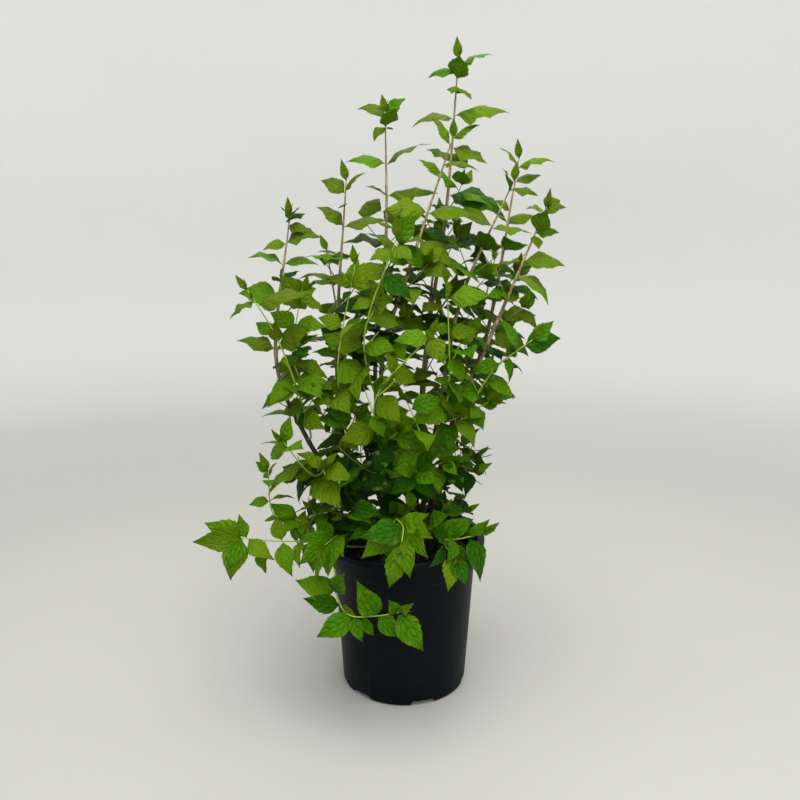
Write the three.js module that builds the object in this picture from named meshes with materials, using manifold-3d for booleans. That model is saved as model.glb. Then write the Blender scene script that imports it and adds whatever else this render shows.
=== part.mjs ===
// A young mock orange, a many-stemmed flowering shrub, in its nursery pot.
// Millimetres, +Z up. The origin is the middle of the pot's underside, on the floor.
// Canes rise from the soil. Each ends in a leafy head, and carries sprays and shoots lower down.
// Heads, shoots and sprays all grow by one seeded rule: a stem with leaf pairs and side twigs.

import * as THREE from 'three';
import { mergeVertices } from 'three/addons/utils/BufferGeometryUtils.js';
import Module from 'manifold-3d';

const wasm = await Module();
wasm.setup();

// ---------------------------------------------------------------- driving dimensions

const GAP = 0.3; // clearance between neighbouring solids
const ROUND_SEGMENTS = 32; // facets round the pot and the soil

const POT = {
  height: 215,
  baseRadius: 88,
  shoulderRadius: 99.5, // at the top of the plain wall
  shoulderHeight: 178,
  collarRadius: 103, // the collar stands on the shoulder
  collarTopRadius: 105.5,
  lipRadius: 113.5,
  lipDepth: 11,
  wall: 2,
  floorTop: 8.5,
  recess: 6, // height of the hollow under the floor
  footWidth: 10,
  bossRadius: 28,
  notches: 6,
  notchWidth: 33,
  notchHeight: 7,
  notchTurn: -13, // degrees
};

const SOIL_LEVEL = 188;
const SOIL_EDGE_DROP = 5; // how far the soil falls towards the wall
const SOIL_FLAT_RADIUS = 78;

const FOOT_RADIUS = 3.9; // of a cane above its flare
const FLARE = 1.7; // how much wider a cane is where it leaves the soil
const FLARE_HEIGHT = 14;
const NECK_RADIUS = 2.9; // of a cane where its leafy head starts
const TIP_RADIUS = 0.7;
const STEM_TAPER = 1.6; // over 1, a stem stays thick until near its tip
const COLLAR = 6; // a side stem runs this far square to its cane before it turns
const SEAT_TRIAL = 2; // first clearance tried when a side stem is seated on its cane
const CANE_SIDES = 5;
const CANE_RINGS = 5;
const TWIG_SIDES = 3;
const TWIG_SHARES = [0, 0.5, 1]; // where a side twig has its rings
const STEM_STEP = 50; // length of one straight piece of a leafy stem

// foot: where the cane leaves the soil; way: points on its way up to the tip, the last one;
// neck: share of its length below the leafy head; turn: degrees of the head's first leaf pair;
// low, middle: degrees in plan that its two sprays point to, 0 is +X and 90 is +Y
const CANES = [
  { name: 'tall', foot: [10, 10], way: [[30, 20, 475], [55, 25, 650], [70, 25, 852]],
    neck: 0.4, turn: 0, low: 70, middle: -92 },
  { name: 'tall_left', foot: [-8, -14], way: [[-30, -20, 460], [5, -30, 580], [60, -35, 745]],
    neck: 0.42, turn: 10, low: -108, middle: -112 },
  { name: 'straight', foot: [-16, 8], way: [[-40, 5, 445], [-25, 10, 615], [-25, 15, 785]],
    neck: 0.42, turn: 0, low: -125, middle: 130 },
  { name: 'left_mid', foot: [-24, -6], way: [[-85, -10, 365], [-90, -10, 490], [-75, -15, 695]],
    neck: 0.42, turn: 20, low: 150, middle: -128 },
  { name: 'left', foot: [-30, -18], way: [[-135, -35, 370], [-165, -50, 460], [-145, -40, 650]],
    neck: 0.45, turn: 30, low: 180, middle: -165 },
  { name: 'right', foot: [16, -8], way: [[50, -10, 410], [75, -15, 545], [140, -15, 695]],
    neck: 0.42, turn: 0, low: -85, middle: -68 },
  { name: 'right_out', foot: [26, -20], way: [[65, -30, 380], [105, -50, 485], [175, -60, 660]],
    neck: 0.42, turn: 15, low: -32, middle: -12 },
  { name: 'right_in', foot: [27, 4], way: [[85, 20, 405], [115, 30, 495], [155, 45, 730]],
    neck: 0.42, turn: 0, low: 5, middle: 20 },
  { name: 'back', foot: [4, 28], way: [[30, 75, 420], [40, 110, 550], [55, 130, 660]],
    neck: 0.4, turn: 0, low: 100, middle: 80 },
  { name: 'back_left', foot: [-16, 26], way: [[-75, 65, 395], [-100, 105, 525], [-115, 125, 610]],
    neck: 0.4, turn: 40, low: 135, middle: 150 },
  { name: 'back_right', foot: [24, 22], way: [[75, 65, 380], [110, 105, 495], [135, 125, 595]],
    neck: 0.4, turn: 60, low: 35, middle: 50 },
];

// on: the cane a long shoot grows from; at: share of that cane's length; tips: where a shoot
// leans over the rim, its leaves one by one, as [share of the stem, leaf tip]
const SHOOTS = [
  { name: 'left_green', on: 'left', at: 0.4, way: [[-155, -90, 495], [-190, -100, 560]], turn: 0 },
  { name: 'left_thin', on: 'left_mid', at: 0.36, way: [[-140, -75, 470], [-130, -85, 540]], turn: 30 },
  { name: 'mid_green', on: 'left_mid', at: 0.3, way: [[-85, -70, 455], [-60, -95, 590]], turn: 0 },
  { name: 'mid_green_2', on: 'tall_left', at: 0.38, way: [[-50, -90, 500], [-10, -110, 620]], turn: 45 },
  { name: 'front_long', on: 'tall_left', at: 0.25, way: [[-35, -115, 430], [30, -150, 510]], turn: 0 },
  { name: 'right_low', on: 'right_out', at: 0.38, way: [[112, -82, 460], [158, -95, 500]], turn: 20 },
  { name: 'centre_green', on: 'right', at: 0.33, way: [[55, -80, 430], [50, -110, 570]], turn: 8 },
  { name: 'centre_low', on: 'right', at: 0.22, way: [[30, -75, 350], [2, -105, 425]], turn: 0 },
  { name: 'low_left', on: 'left', at: 0.1, turn: 0,
    way: [[-135, -95, 239], [-163, -115, 247], [-202, -136, 259]],
    tips: [
      [0.3, [-82, -112, 204]], [0.3, [-112, -36, 262]], [0.43, [-112, -122, 208]],
      [0.43, [-138, -46, 238]], [0.56, [-134, -132, 216]], [0.56, [-134, -64, 270]],
      [0.7, [-142, -128, 204]], [0.7, [-163, -92, 272]],
      [0.83, [-170, -132, 210]], [0.95, [-208, -122, 284]], [0.95, [-157, -150, 237]],
      [0.985, [-242, -145, 284]], [0.985, [-257, -150, 253]], [0.985, [-211, -160, 229]],
      [0.985, [-215, -150, 210]],
    ] },
  { name: 'hanging', on: 'left', at: 0.05, turn: 0,
    way: [[-108, -84, 224], [-91, -103, 208], [-88, -115, 178], [-72, -135, 158],
      [-35, -158, 167], [-6, -172, 179]],
    tips: [
      [0.58, [-140, -118, 192]], [0.58, [-74, -140, 215]], [0.65, [-129, -128, 174]],
      [0.65, [-60, -138, 158]], [0.74, [-110, -150, 135]], [0.74, [-53, -158, 131]],
      [0.79, [-37, -152, 138]], [0.88, [-62, -166, 214]], [0.88, [-1, -168, 146]],
      [0.985, [-21, -186, 200]], [0.985, [24, -180, 133]],
    ] },
  { name: 'left_inner', on: 'left', at: 0.27, way: [[-125, -85, 330], [-152, -100, 372]], turn: 0 },
  { name: 'left_arc', on: 'left', at: 0.19, way: [[-165, -90, 270], [-172, -100, 335]], turn: 0 },
  { name: 'front', on: 'tall_left', at: 0.1, turn: 0,
    way: [[-9, -105, 271], [-2, -138, 272], [-4, -152, 259]],
    tips: [
      [0.5, [-52, -98, 236]], [0.5, [38, -104, 244]], [0.72, [-52, -160, 239]], [0.72, [28, -150, 236]],
      [0.86, [-54, -165, 264]], [0.86, [30, -160, 298]], [0.985, [10, -168, 221]],
      [0.985, [-17, -160, 202]],
    ] },
  { name: 'front_right', on: 'right_out', at: 0.12, turn: 0,
    way: [[46, -80, 237], [70, -105, 246], [99, -118, 259]],
    tips: [
      [0.42, [30, -112, 205]], [0.42, [92, -66, 258]], [0.66, [52, -132, 223]], [0.66, [59, -112, 273]],
      [0.84, [99, -128, 199]], [0.84, [105, -120, 279]], [0.985, [112, -124, 266]],
    ] },
];

// the crown low down: its radius at the soil, what it gains with each millimetre above it, and
// its centre in plan; the heights above the soil at which sprays fill it
const SPRAY_HEIGHTS = { low: 30, middle: 108 };
const SPRAY_STAGGER = 9; // each cane's sprays sit higher than the last one's, in turns of three
const SPRAY_RISE = 0.3; // of its length
const SHORTEST_SPRAY = 48;
const CROWN = { radius: 124, widening: 0.18, centre: new THREE.Vector3(-30, -6, 0) };

// how a stem carries its leaves. pitch: between pairs; leaf: length; raise: of the leaves'
// direction; a twig every so many joints until a share of the stem; space: the farthest that
// the mass reaches from its stem; bare: share of the stem below its first pair
const HEAD = { radius: NECK_RADIUS, pitch: 38, leaf: 62, raise: -0.3, bare: 0.05,
  twigEvery: 2, twigUntil: 0.55, twig: 60, space: 100 };
const SHOOT = { radius: 1.3, pitch: 31, leaf: 55, raise: -0.45, bare: 0.15,
  twigEvery: 3, twigUntil: 0.6, twig: 42, space: 85 };
const SPRAY = { radius: 1.5, pitch: 28, leaf: 60, raise: -0.6, bare: 0.2,
  twigEvery: 3, twigUntil: 0.7, twig: 42, space: 85 };
const TWIG = { radius: 0.95, pitch: 25, leaf: 0.84, raise: -0.3, bare: 0.3 };

const LAST_PLACE = 0.985; // the end pair's share of its stem
const LAST_SIZE = 0.58;
const FLATTEN = 0.6; // how much of its rise a leaf keeps as its weight lays it down
const PAIR_STEP = 0.8; // the leaves of a pair stand this far above and below their joint
const END_SETBACK = 1.2; // the last pair is rooted this much short of the stem's end
const SUNK = 0.1; // how far a leaf's root lies behind the middle of its stem

// leaves face the light: up, and outwards too, more so low in the plant
const LIGHT = { low: 250, high: 750, lowLean: 1.4, highLean: 0.35, spread: 90 };

const LEAF = {
  width: 0.6, // of its length
  widest: 0.4, // how far along the widest place is
  rise: 0.025, // of its sides over its root
  droop: 0.16,
  ridgeAt: 0.44,
  ridge: 0.062, // height of its midrib over its root
};

const COLOURS = {
  pot: { color: 0x14181b, roughness: 0.55, metalness: 0 },
  soil: { color: 0x2e241c, roughness: 0.95, metalness: 0 },
  bark: { color: 0x8a6a48, roughness: 0.8, metalness: 0 },
  young: { color: 0x6fa83a, roughness: 0.55, metalness: 0 },
  grown: { color: 0x3f7a2c, roughness: 0.5, metalness: 0 },
};

// ---------------------------------------------------------------- small tools

const UP = new THREE.Vector3(0, 0, 1);
const RADIANS = Math.PI / 180;
const mix = THREE.MathUtils.lerp;
const vector = (triple) => new THREE.Vector3(...triple);

/** Repeatable random numbers from 0 to 1. */
function seeded(seed) {
  let state = seed | 0;
  return () => {
    state = (state + 0x6d2b79f5) | 0;
    let mixed = Math.imul(state ^ (state >>> 15), 1 | state);
    mixed = (mixed + Math.imul(mixed ^ (mixed >>> 7), 61 | mixed)) ^ mixed;
    return ((mixed ^ (mixed >>> 14)) >>> 0) / 4294967296;
  };
}

/** The solid of a closed geometry. */
function solidOf(geometry) {
  geometry.deleteAttribute('normal');
  geometry.deleteAttribute('uv');
  const merged = mergeVertices(geometry, 1e-4);
  const vertProperties = new Float32Array(merged.attributes.position.array);
  const triVerts = new Uint32Array(merged.index.array);
  return new wasm.Manifold(new wasm.Mesh({ numProp: 3, vertProperties, triVerts }));
}

/** The geometry of a solid, with shared corners. */
function geometryOf(solid) {
  const mesh = solid.getMesh();
  const geometry = new THREE.BufferGeometry();
  geometry.setAttribute('position', new THREE.BufferAttribute(mesh.vertProperties, 3));
  geometry.setIndex(new THREE.BufferAttribute(mesh.triVerts, 1));
  geometry.computeVertexNormals();
  return geometry;
}

/** A geometry from rows of coordinates and rows of triangle corners. */
function facetedGeometry(coordinates, corners) {
  const geometry = new THREE.BufferGeometry();
  geometry.setAttribute('position', new THREE.Float32BufferAttribute(coordinates.flat(), 3));
  geometry.setIndex(corners.flat());
  return geometry;
}

/** The largest part of a solid: loose scraps go, and sealed hollows are filled. */
function mainPart(solid) {
  return solid.decompose().reduce((best, part) => (part.volume() > best.volume() ? part : best));
}

/** Evenly spaced shares of a curve, ends included. */
function evenShares(from, to, steps) {
  return Array.from({ length: steps + 1 }, (_, step) => mix(from, to, step / steps));
}

/** A named scene object of one solid. */
function piece(name, solid, look) {
  const made = new THREE.Mesh(geometryOf(solid), new THREE.MeshStandardMaterial(look));
  made.name = name;
  return made;
}

/** Two directions square to a heading and to each other, the same for near headings. */
function crossAxes(ahead) {
  const guide = new THREE.Vector3(0.27, -0.95, 0.15);
  const across = guide.cross(ahead).normalize();
  return [across, ahead.clone().cross(across)];
}

// ---------------------------------------------------------------- pot and soil

/** The solid of a profile of radius and height pairs, turned round the upright axis. */
function turned(pairs) {
  const points = pairs.map(([radius, height]) => new THREE.Vector2(radius, height));
  return solidOf(new THREE.LatheGeometry(points, ROUND_SEGMENTS).rotateX(Math.PI / 2));
}

/** Radius of the pot's plain wall at a height. */
function wallRadius(height) {
  return mix(POT.baseRadius, POT.shoulderRadius, height / POT.shoulderHeight);
}

/** The pot: plain wall, collar and rolled lip, on a foot ring with six notches and a boss. */
function makePot() {
  const { height, wall, shoulderHeight, collarRadius, collarTopRadius, lipRadius } = POT;
  const lipFoot = height - POT.lipDepth;
  const footInside = POT.baseRadius - POT.footWidth;
  const shell = turned([
    [0, 0],
    [POT.bossRadius, 0],
    [POT.bossRadius + 1, POT.recess],
    [footInside - 1, POT.recess],
    [footInside, 0],
    [POT.baseRadius - 2.5, 0],
    [wallRadius(2.5), 2.5],
    [wallRadius(shoulderHeight - 1), shoulderHeight - 1],
    [collarRadius, shoulderHeight + 1.5],
    [collarTopRadius, lipFoot - 1],
    [lipRadius, lipFoot],
    [lipRadius - 0.3, height - 2],
    [lipRadius - 2.2, height],
    [collarTopRadius - 0.5, height],
    [collarTopRadius - wall, height - 2.5],
    [collarRadius - wall, shoulderHeight + 2.5],
    [wallRadius(shoulderHeight) - wall, shoulderHeight],
    [wallRadius(POT.floorTop) - wall, POT.floorTop],
    [0, POT.floorTop],
  ]);
  const notches = Array.from({ length: POT.notches }, (_, index) => {
    const cutter = new THREE.BoxGeometry(3 * POT.footWidth, POT.notchWidth, 2 * POT.notchHeight);
    cutter.translate(POT.baseRadius, 0, 0);
    return solidOf(cutter.rotateZ(POT.notchTurn * RADIANS + (index * 2 * Math.PI) / POT.notches));
  });
  return shell.subtract(wasm.Manifold.union(notches));
}

/** Potting soil, filling the pot to a flat top that falls a little towards the wall. */
function makeSoil() {
  const play = POT.wall + GAP;
  const foot = POT.floorTop + GAP;
  const shoulder = POT.shoulderHeight - 1;
  return turned([
    [0, foot],
    [wallRadius(foot) - play, foot],
    [wallRadius(shoulder) - play, shoulder],
    [wallRadius(shoulder) - play, SOIL_LEVEL - SOIL_EDGE_DROP],
    [SOIL_FLAT_RADIUS, SOIL_LEVEL],
    [0, SOIL_LEVEL],
  ]);
}

// ---------------------------------------------------------------- limbs and leaves

/**
 * A closed tapering tube along a curve, with a ring at each of some shares of its length.
 * radiusAt takes such a share. A level foot gives the first ring a horizontal cut.
 */
function limb(curve, shares, radiusAt, sides, levelFoot = false) {
  const coordinates = [];
  const corners = [];
  let across = crossAxes(curve.getTangentAt(shares[0]))[0];
  shares.forEach((share, ring) => {
    const centre = curve.getPointAt(share);
    const ahead = levelFoot && ring === 0 ? UP : curve.getTangentAt(share);
    across = across.clone().addScaledVector(ahead, -across.dot(ahead)).normalize();
    const over = ahead.clone().cross(across);
    for (let side = 0; side < sides; side += 1) {
      const angle = (side * 2 * Math.PI) / sides;
      const point = centre.clone();
      point.addScaledVector(across, radiusAt(share) * Math.cos(angle));
      point.addScaledVector(over, radiusAt(share) * Math.sin(angle));
      coordinates.push(point.toArray());
    }
  });
  const rings = shares.length - 1;
  for (let ring = 0; ring < rings; ring += 1) {
    for (let side = 0; side < sides; side += 1) {
      const here = ring * sides + side;
      const next = ring * sides + ((side + 1) % sides);
      corners.push([here, next, next + sides], [here, next + sides, here + sides]);
    }
  }
  const last = rings * sides;
  for (let side = 1; side < sides - 1; side += 1) {
    corners.push([0, side + 1, side], [last, last + side, last + side + 1]);
  }
  return solidOf(facetedGeometry(coordinates, corners));
}

/** The point at a share of a limb's middle line, which has its corners at the limb's rings. */
function pointOn(curve, shares, at) {
  const after = Math.max(1, shares.findIndex((share) => share >= at));
  const [low, high] = [shares[after - 1], shares[after]];
  return curve.getPointAt(low).lerp(curve.getPointAt(high), (at - low) / (high - low));
}

/** A leaf: a low roof of six faces from its root point to its tip, arched and drooping. */
function leafSolid({ root, ahead, face, length }) {
  const half = (length * LEAF.width) / 2;
  const crest = length * LEAF.rise;
  const coordinates = [
    [0, 0, 0],
    [length * LEAF.widest, half, crest],
    [length * LEAF.widest, -half, crest],
    [length * LEAF.ridgeAt, 0, length * LEAF.ridge],
    [length, 0, -length * LEAF.droop],
  ];
  const [base, left, right, ridge, tip] = [0, 1, 2, 3, 4];
  const corners = [
    [base, ridge, left],
    [base, right, ridge],
    [ridge, tip, left],
    [ridge, right, tip],
    [base, left, right],
    [left, tip, right],
  ];
  const place = new THREE.Matrix4().makeBasis(ahead, face.clone().cross(ahead), face);
  return solidOf(facetedGeometry(coordinates, corners).applyMatrix4(place.setPosition(root)));
}

// ---------------------------------------------------------------- the rule of growth

/**
 * Direction of a leaf or twig that leaves a stem: out from it at an angle round it, laid flatter
 * by its weight, then drawn forward along the stem and raised or lowered.
 */
function sideways(ahead, angle, forward, raise) {
  const [across, over] = crossAxes(ahead);
  const out = across.multiplyScalar(Math.cos(angle)).addScaledVector(over, Math.sin(angle));
  out.z *= FLATTEN;
  return out.normalize().addScaledVector(ahead, forward).addScaledVector(UP, raise).normalize();
}

/** A leaf's place: its face is turned to the light as far as its direction lets it, and rolled. */
function leafPlace(point, ahead, length, roll) {
  const outward = new THREE.Vector3(point.x, point.y, 0).divideScalar(LIGHT.spread);
  const share = THREE.MathUtils.clamp((point.z - LIGHT.low) / (LIGHT.high - LIGHT.low), 0, 1);
  const face = UP.clone().addScaledVector(
    outward.clampLength(0, 1),
    mix(LIGHT.lowLean, LIGHT.highLean, share),
  );
  face.addScaledVector(ahead, -face.dot(ahead)).normalize().applyAxisAngle(ahead, roll);
  return { root: point.clone().addScaledVector(ahead, -SUNK), ahead, face, length };
}

/** A side twig's curve: out from its joint, then upwards. */
function twigCurve(point, direction, reach) {
  const middle = point.clone().addScaledVector(direction, reach * 0.55);
  const end = point.clone().addScaledVector(direction, reach * 0.95);
  end.z += reach * 0.16;
  return new THREE.QuadraticBezierCurve3(point, middle, end);
}

/**
 * Leaf pairs and side twigs of one stem. Each pair stands crosswise to the pair below, and the
 * last pair is small and points ahead. Twigs carry pairs by the same rule, but no twigs.
 */
function growth(curve, shares, rule, seed, turn) {
  const random = seeded(seed);
  const from = shares[0];
  const joints = Math.max(1, Math.round((curve.getLength() * (1 - from)) / rule.pitch));
  const leaves = [];
  const twigs = [];
  for (let joint = 0; joint <= joints; joint += 1) {
    const last = joint === joints;
    const place = last ? LAST_PLACE : Math.min((joint + 0.55) / joints, LAST_PLACE);
    const at = mix(from, 1, place);
    const point = pointOn(curve, shares, at);
    const ahead = curve.getTangentAt(at);
    const angle = turn * RADIANS + joint * (Math.PI / 2) + (random() - 0.5) * 0.5;
    for (const side of [0, 1]) {
      const size = (0.82 + 0.36 * random()) * (last ? LAST_SIZE : 1 - 0.22 * place ** 3);
      const raise = (last ? 0.1 : rule.raise + 0.35 * place) + (random() - 0.5) * 0.4;
      const roll = (random() - 0.5) * 0.7;
      const spin = angle + side * Math.PI + (random() - 0.5) * 0.3;
      const direction = sideways(ahead, spin, last ? 1.1 : 0.3, raise);
      const shift = (side ? PAIR_STEP : -PAIR_STEP) - (last ? END_SETBACK : 0);
      const root = point.clone().addScaledVector(ahead, shift);
      if (place < rule.bare) continue;
      leaves.push({ ...leafPlace(root, direction, rule.leaf * size, roll), joint });
    }
    const vigour = 0.8 + 0.4 * random();
    if (joint % rule.twigEvery !== 1 || place > rule.twigUntil) continue;
    const side = joint % (2 * rule.twigEvery) === 1 ? 0 : Math.PI;
    const direction = sideways(ahead, angle + side + 0.35, 0.8, 0.1);
    const twig = twigCurve(point, direction, rule.twig * vigour * (1 - 0.35 * place));
    const twigRule = { ...TWIG, leaf: rule.leaf * TWIG.leaf };
    const grown = growth(twig, TWIG_SHARES, twigRule, seed * 31 + joint, turn + 60);
    twigs.push({ curve: twig, ...grown });
  }
  return { leaves, twigs };
}

/** Leaves of a stem whose leaf tips are given; those of one joint share a place on the stem. */
function leavesTo(tips, curve, shares) {
  return tips.map(([at, tip], index) => {
    const shift = index % 2 ? PAIR_STEP : -PAIR_STEP;
    const root = pointOn(curve, shares, at).addScaledVector(curve.getTangentAt(at), shift);
    const reach = vector(tip).sub(root);
    return { ...leafPlace(root, reach.clone().normalize(), reach.length(), 0), joint: at };
  });
}

// ---------------------------------------------------------------- clearance

// every piece placed so far: its node, kind, joint, the stem or twig that carries it, its solid
const placed = [];

function keep(entry) {
  placed.push({ ...entry, box: entry.solid.boundingBox() });
  return entry.solid;
}

const boxesApart = (a, b) =>
  [0, 1, 2].some((axis) => a.min[axis] > b.max[axis] + GAP || b.min[axis] > a.max[axis] + GAP);

/** Whether two pieces of one node belong together, so that they may touch. */
function related(a, b) {
  if (a.node !== b.node) return false;
  return a.kind === 'twig' || a.joint === b.joint || (b.kind === 'twig' && a.carrier === b.carrier);
}

/** Whether a leaf or twig stays clear of all that it isn't fused to. */
function isClear(entry) {
  const box = entry.solid.boundingBox();
  return placed.every(
    (other) =>
      boxesApart(box, other.box) ||
      related(entry, other) ||
      entry.solid.minGap(other.solid, 1) >= GAP,
  );
}

/** Whether a point keeps to its mass's own space, round the mass's stem. */
function inSpace(point, stem) {
  return evenShares(stem.from, 1, 12).some(
    (share) => stem.curve.getPointAt(share).distanceTo(point) < stem.rule.space,
  );
}

// ---------------------------------------------------------------- canes and leafy stems

/** A cane with its curve and its bare lower part, from the soil to the neck. */
function makeCane(cane) {
  const foot = new THREE.Vector3(cane.foot[0], cane.foot[1], SOIL_LEVEL + GAP);
  const curve = new THREE.CatmullRomCurve3([foot, ...cane.way.map(vector)]);
  const made = { ...cane, curve, length: curve.getLength() };
  const shares = [0, FLARE_HEIGHT / made.length, ...evenShares(0, cane.neck, CANE_RINGS).slice(1)];
  made.solid = limb(curve, shares, (share) => caneRadius(made, share), CANE_SIDES, true);
  return made;
}

/** Radius of a cane at a share of its length, with the flare at its foot. */
function caneRadius(cane, share) {
  const plain = mix(FOOT_RADIUS, NECK_RADIUS, share / cane.neck);
  return plain * (1 + (FLARE - 1) * Math.exp((-share * cane.length) / FLARE_HEIGHT));
}

/**
 * A side stem through some points. It leaves its cane square, and is slid along that direction
 * until its foot lies the gap clear of the cane's faceted side.
 */
function sideStem(cane, at, way, radius) {
  const centre = cane.curve.getPointAt(at);
  const ahead = cane.curve.getTangentAt(at);
  const out = way[0].clone().sub(centre);
  out.addScaledVector(ahead, -out.dot(ahead)).normalize();
  const curveFrom = (offset) => {
    const start = centre.clone().addScaledVector(out, offset);
    return new THREE.CatmullRomCurve3([start, start.clone().addScaledVector(out, COLLAR), ...way]);
  };
  const first = caneRadius(cane, at) + SEAT_TRIAL;
  const trial = curveFrom(first);
  const stub = limb(trial, [0, COLLAR / trial.getLength()], () => radius, TWIG_SIDES);
  return curveFrom(first + GAP - stub.minGap(cane.solid, 2 * SEAT_TRIAL));
}

/** The leafy head of a cane: its stem goes on where the cane ends. */
function headOf(cane, index) {
  const from = cane.neck + GAP / cane.length;
  const { curve, turn } = cane;
  return { name: `head_${cane.name}`, curve, from, rule: HEAD, seed: 11 + index, turn };
}

function shootOf({ name, on, at, way, turn, tips }, index, canes) {
  const cane = canes.find((candidate) => candidate.name === on);
  const curve = sideStem(cane, at, way.map(vector), SHOOT.radius);
  return { name: `shoot_${name}`, curve, from: 0, rule: SHOOT, seed: 41 + index, turn, tips };
}

/** A short spray that fills the crown out to its radius at that height. */
function sprayOf(cane, index, level) {
  const height = SPRAY_HEIGHTS[level] + SPRAY_STAGGER * (index % 3);
  const at = height / (cane.way.at(-1)[2] - SOIL_LEVEL);
  const point = cane.curve.getPointAt(at);
  const angle = cane[level] * RADIANS;
  const out = new THREE.Vector3(Math.cos(angle), Math.sin(angle), 0);
  const filled = point.clone().sub(CROWN.centre).dot(out) + 0.75 * SPRAY.leaf;
  const room = CROWN.radius + CROWN.widening * height - filled;
  const length = Math.max(SHORTEST_SPRAY, room);
  const middle = point.clone().addScaledVector(out, length * 0.55);
  const tip = point.clone().addScaledVector(out, length);
  middle.z += length * SPRAY_RISE * 0.8;
  tip.z += length * SPRAY_RISE;
  const curve = sideStem(cane, at, [middle, tip], SPRAY.radius);
  const seed = 71 + 2 * index + (level === 'low' ? 0 : 1);
  return { name: `spray_${cane.name}_${level}`, curve, from: 0, rule: SPRAY, seed, turn: 45 };
}

/** The solid of a stem, kept as the first piece of its mass. */
function placeStem(stem) {
  const length = stem.curve.getLength();
  const radiusAt = (share) =>
    mix(stem.rule.radius, TIP_RADIUS, ((share - stem.from) / (1 - stem.from)) ** STEM_TAPER);
  const collar = stem.from ? [] : [0];
  const from = stem.from || COLLAR / length;
  const steps = Math.max(3, Math.round((length * (1 - from)) / STEM_STEP));
  const shares = [...collar, ...evenShares(from, 1, steps)];
  const solid = limb(stem.curve, shares, radiusAt, TWIG_SIDES);
  stem.growth = stem.tips
    ? { leaves: leavesTo(stem.tips, stem.curve, shares), twigs: [] }
    : growth(stem.curve, shares, stem.rule, stem.seed, stem.turn);
  stem.pieces = [keep({ node: stem.name, kind: 'twig', joint: -1, carrier: 0, solid })];
}

/** Side twigs of a stem, where they stay clear. */
function placeTwigs(stem) {
  stem.carriers = [stem.growth];
  for (const twig of stem.growth.twigs) {
    const radiusAt = (share) => mix(TWIG.radius, TIP_RADIUS, share);
    const solid = limb(twig.curve, TWIG_SHARES, radiusAt, TWIG_SIDES);
    const entry = { node: stem.name, kind: 'twig', joint: -1, carrier: stem.carriers.length, solid };
    if (!isClear(entry)) continue;
    stem.pieces.push(keep(entry));
    stem.carriers.push(twig);
  }
}

/** Leaves of a stem and its twigs, where they stay clear and in their space. */
function placeLeaves(stem) {
  stem.carriers.forEach((twig, carrier) => {
    for (const leaf of twig.leaves) {
      const tip = leaf.root.clone().addScaledVector(leaf.ahead, leaf.length);
      const joint = `${carrier} ${leaf.joint}`;
      const entry = { node: stem.name, kind: 'leaf', joint, carrier, solid: leafSolid(leaf) };
      if (inSpace(tip, stem) && isClear(entry)) stem.pieces.push(keep(entry));
    }
  });
}

// ---------------------------------------------------------------- the whole plant

const group = new THREE.Group();

function addPiece(name, solid, look) {
  group.add(piece(name, solid, look));
}

addPiece('pot', keep({ node: 'pot', kind: 'pot', solid: makePot() }), COLOURS.pot);
addPiece('soil', keep({ node: 'soil', kind: 'soil', solid: makeSoil() }), COLOURS.soil);

const canes = CANES.map(makeCane);
for (const cane of canes) {
  const node = `cane_${cane.name}`;
  addPiece(node, keep({ node, kind: 'cane', solid: cane.solid }), COLOURS.bark);
}

const heads = canes.map(headOf);
const shoots = SHOOTS.map((shoot, index) => shootOf(shoot, index, canes));
const sprays = canes.flatMap((cane, index) => [
  sprayOf(cane, index, 'low'),
  sprayOf(cane, index, 'middle'),
]);

const masses = [...heads, ...shoots, ...sprays];
masses.forEach(placeStem);
masses.forEach(placeTwigs);
masses.forEach(placeLeaves);
for (const mass of masses) {
  const look = mass.rule === SPRAY ? COLOURS.grown : COLOURS.young;
  addPiece(mass.name, mainPart(wasm.Manifold.union(mass.pieces)), look);
}

export default group;
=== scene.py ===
# %% [markdown]
# # A young mock orange in its nursery pot
# A mock orange grows as a clump of thin upright canes. Every cane carries pairs of pointed,
# toothed leaves, each pair crosswise to the pair below, and thinner shoots and sprays lower down.
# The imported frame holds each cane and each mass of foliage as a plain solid. This lesson grows
# the same plant again, by the same rule, with its real leaves, bark, pot and soil.
# Lengths are in millimetres until a mesh is made, because the plant was drawn in them.

import math

import bpy
import numpy as np
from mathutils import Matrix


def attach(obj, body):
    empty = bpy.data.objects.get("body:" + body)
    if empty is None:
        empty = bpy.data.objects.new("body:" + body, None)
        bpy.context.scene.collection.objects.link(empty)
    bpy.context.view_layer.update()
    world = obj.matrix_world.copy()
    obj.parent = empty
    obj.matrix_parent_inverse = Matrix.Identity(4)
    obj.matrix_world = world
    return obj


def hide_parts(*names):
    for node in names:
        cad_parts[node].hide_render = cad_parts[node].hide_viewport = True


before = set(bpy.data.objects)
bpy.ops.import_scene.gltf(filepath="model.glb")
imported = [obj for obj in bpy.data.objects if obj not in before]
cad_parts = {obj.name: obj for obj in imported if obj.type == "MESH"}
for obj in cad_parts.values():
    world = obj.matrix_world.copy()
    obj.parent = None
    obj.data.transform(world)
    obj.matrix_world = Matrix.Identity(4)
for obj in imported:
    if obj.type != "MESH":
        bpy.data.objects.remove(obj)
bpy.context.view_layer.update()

# %% [markdown]
# ## The camera
# The camera stands a metre in front of the plant, a little above the middle of its height, and
# looks down by about ten degrees. A lens of 33 mm takes in the whole plant with room around it.
# It could be aimed with a Track To constraint, but a fixed turn is simpler to read and to move.

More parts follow.
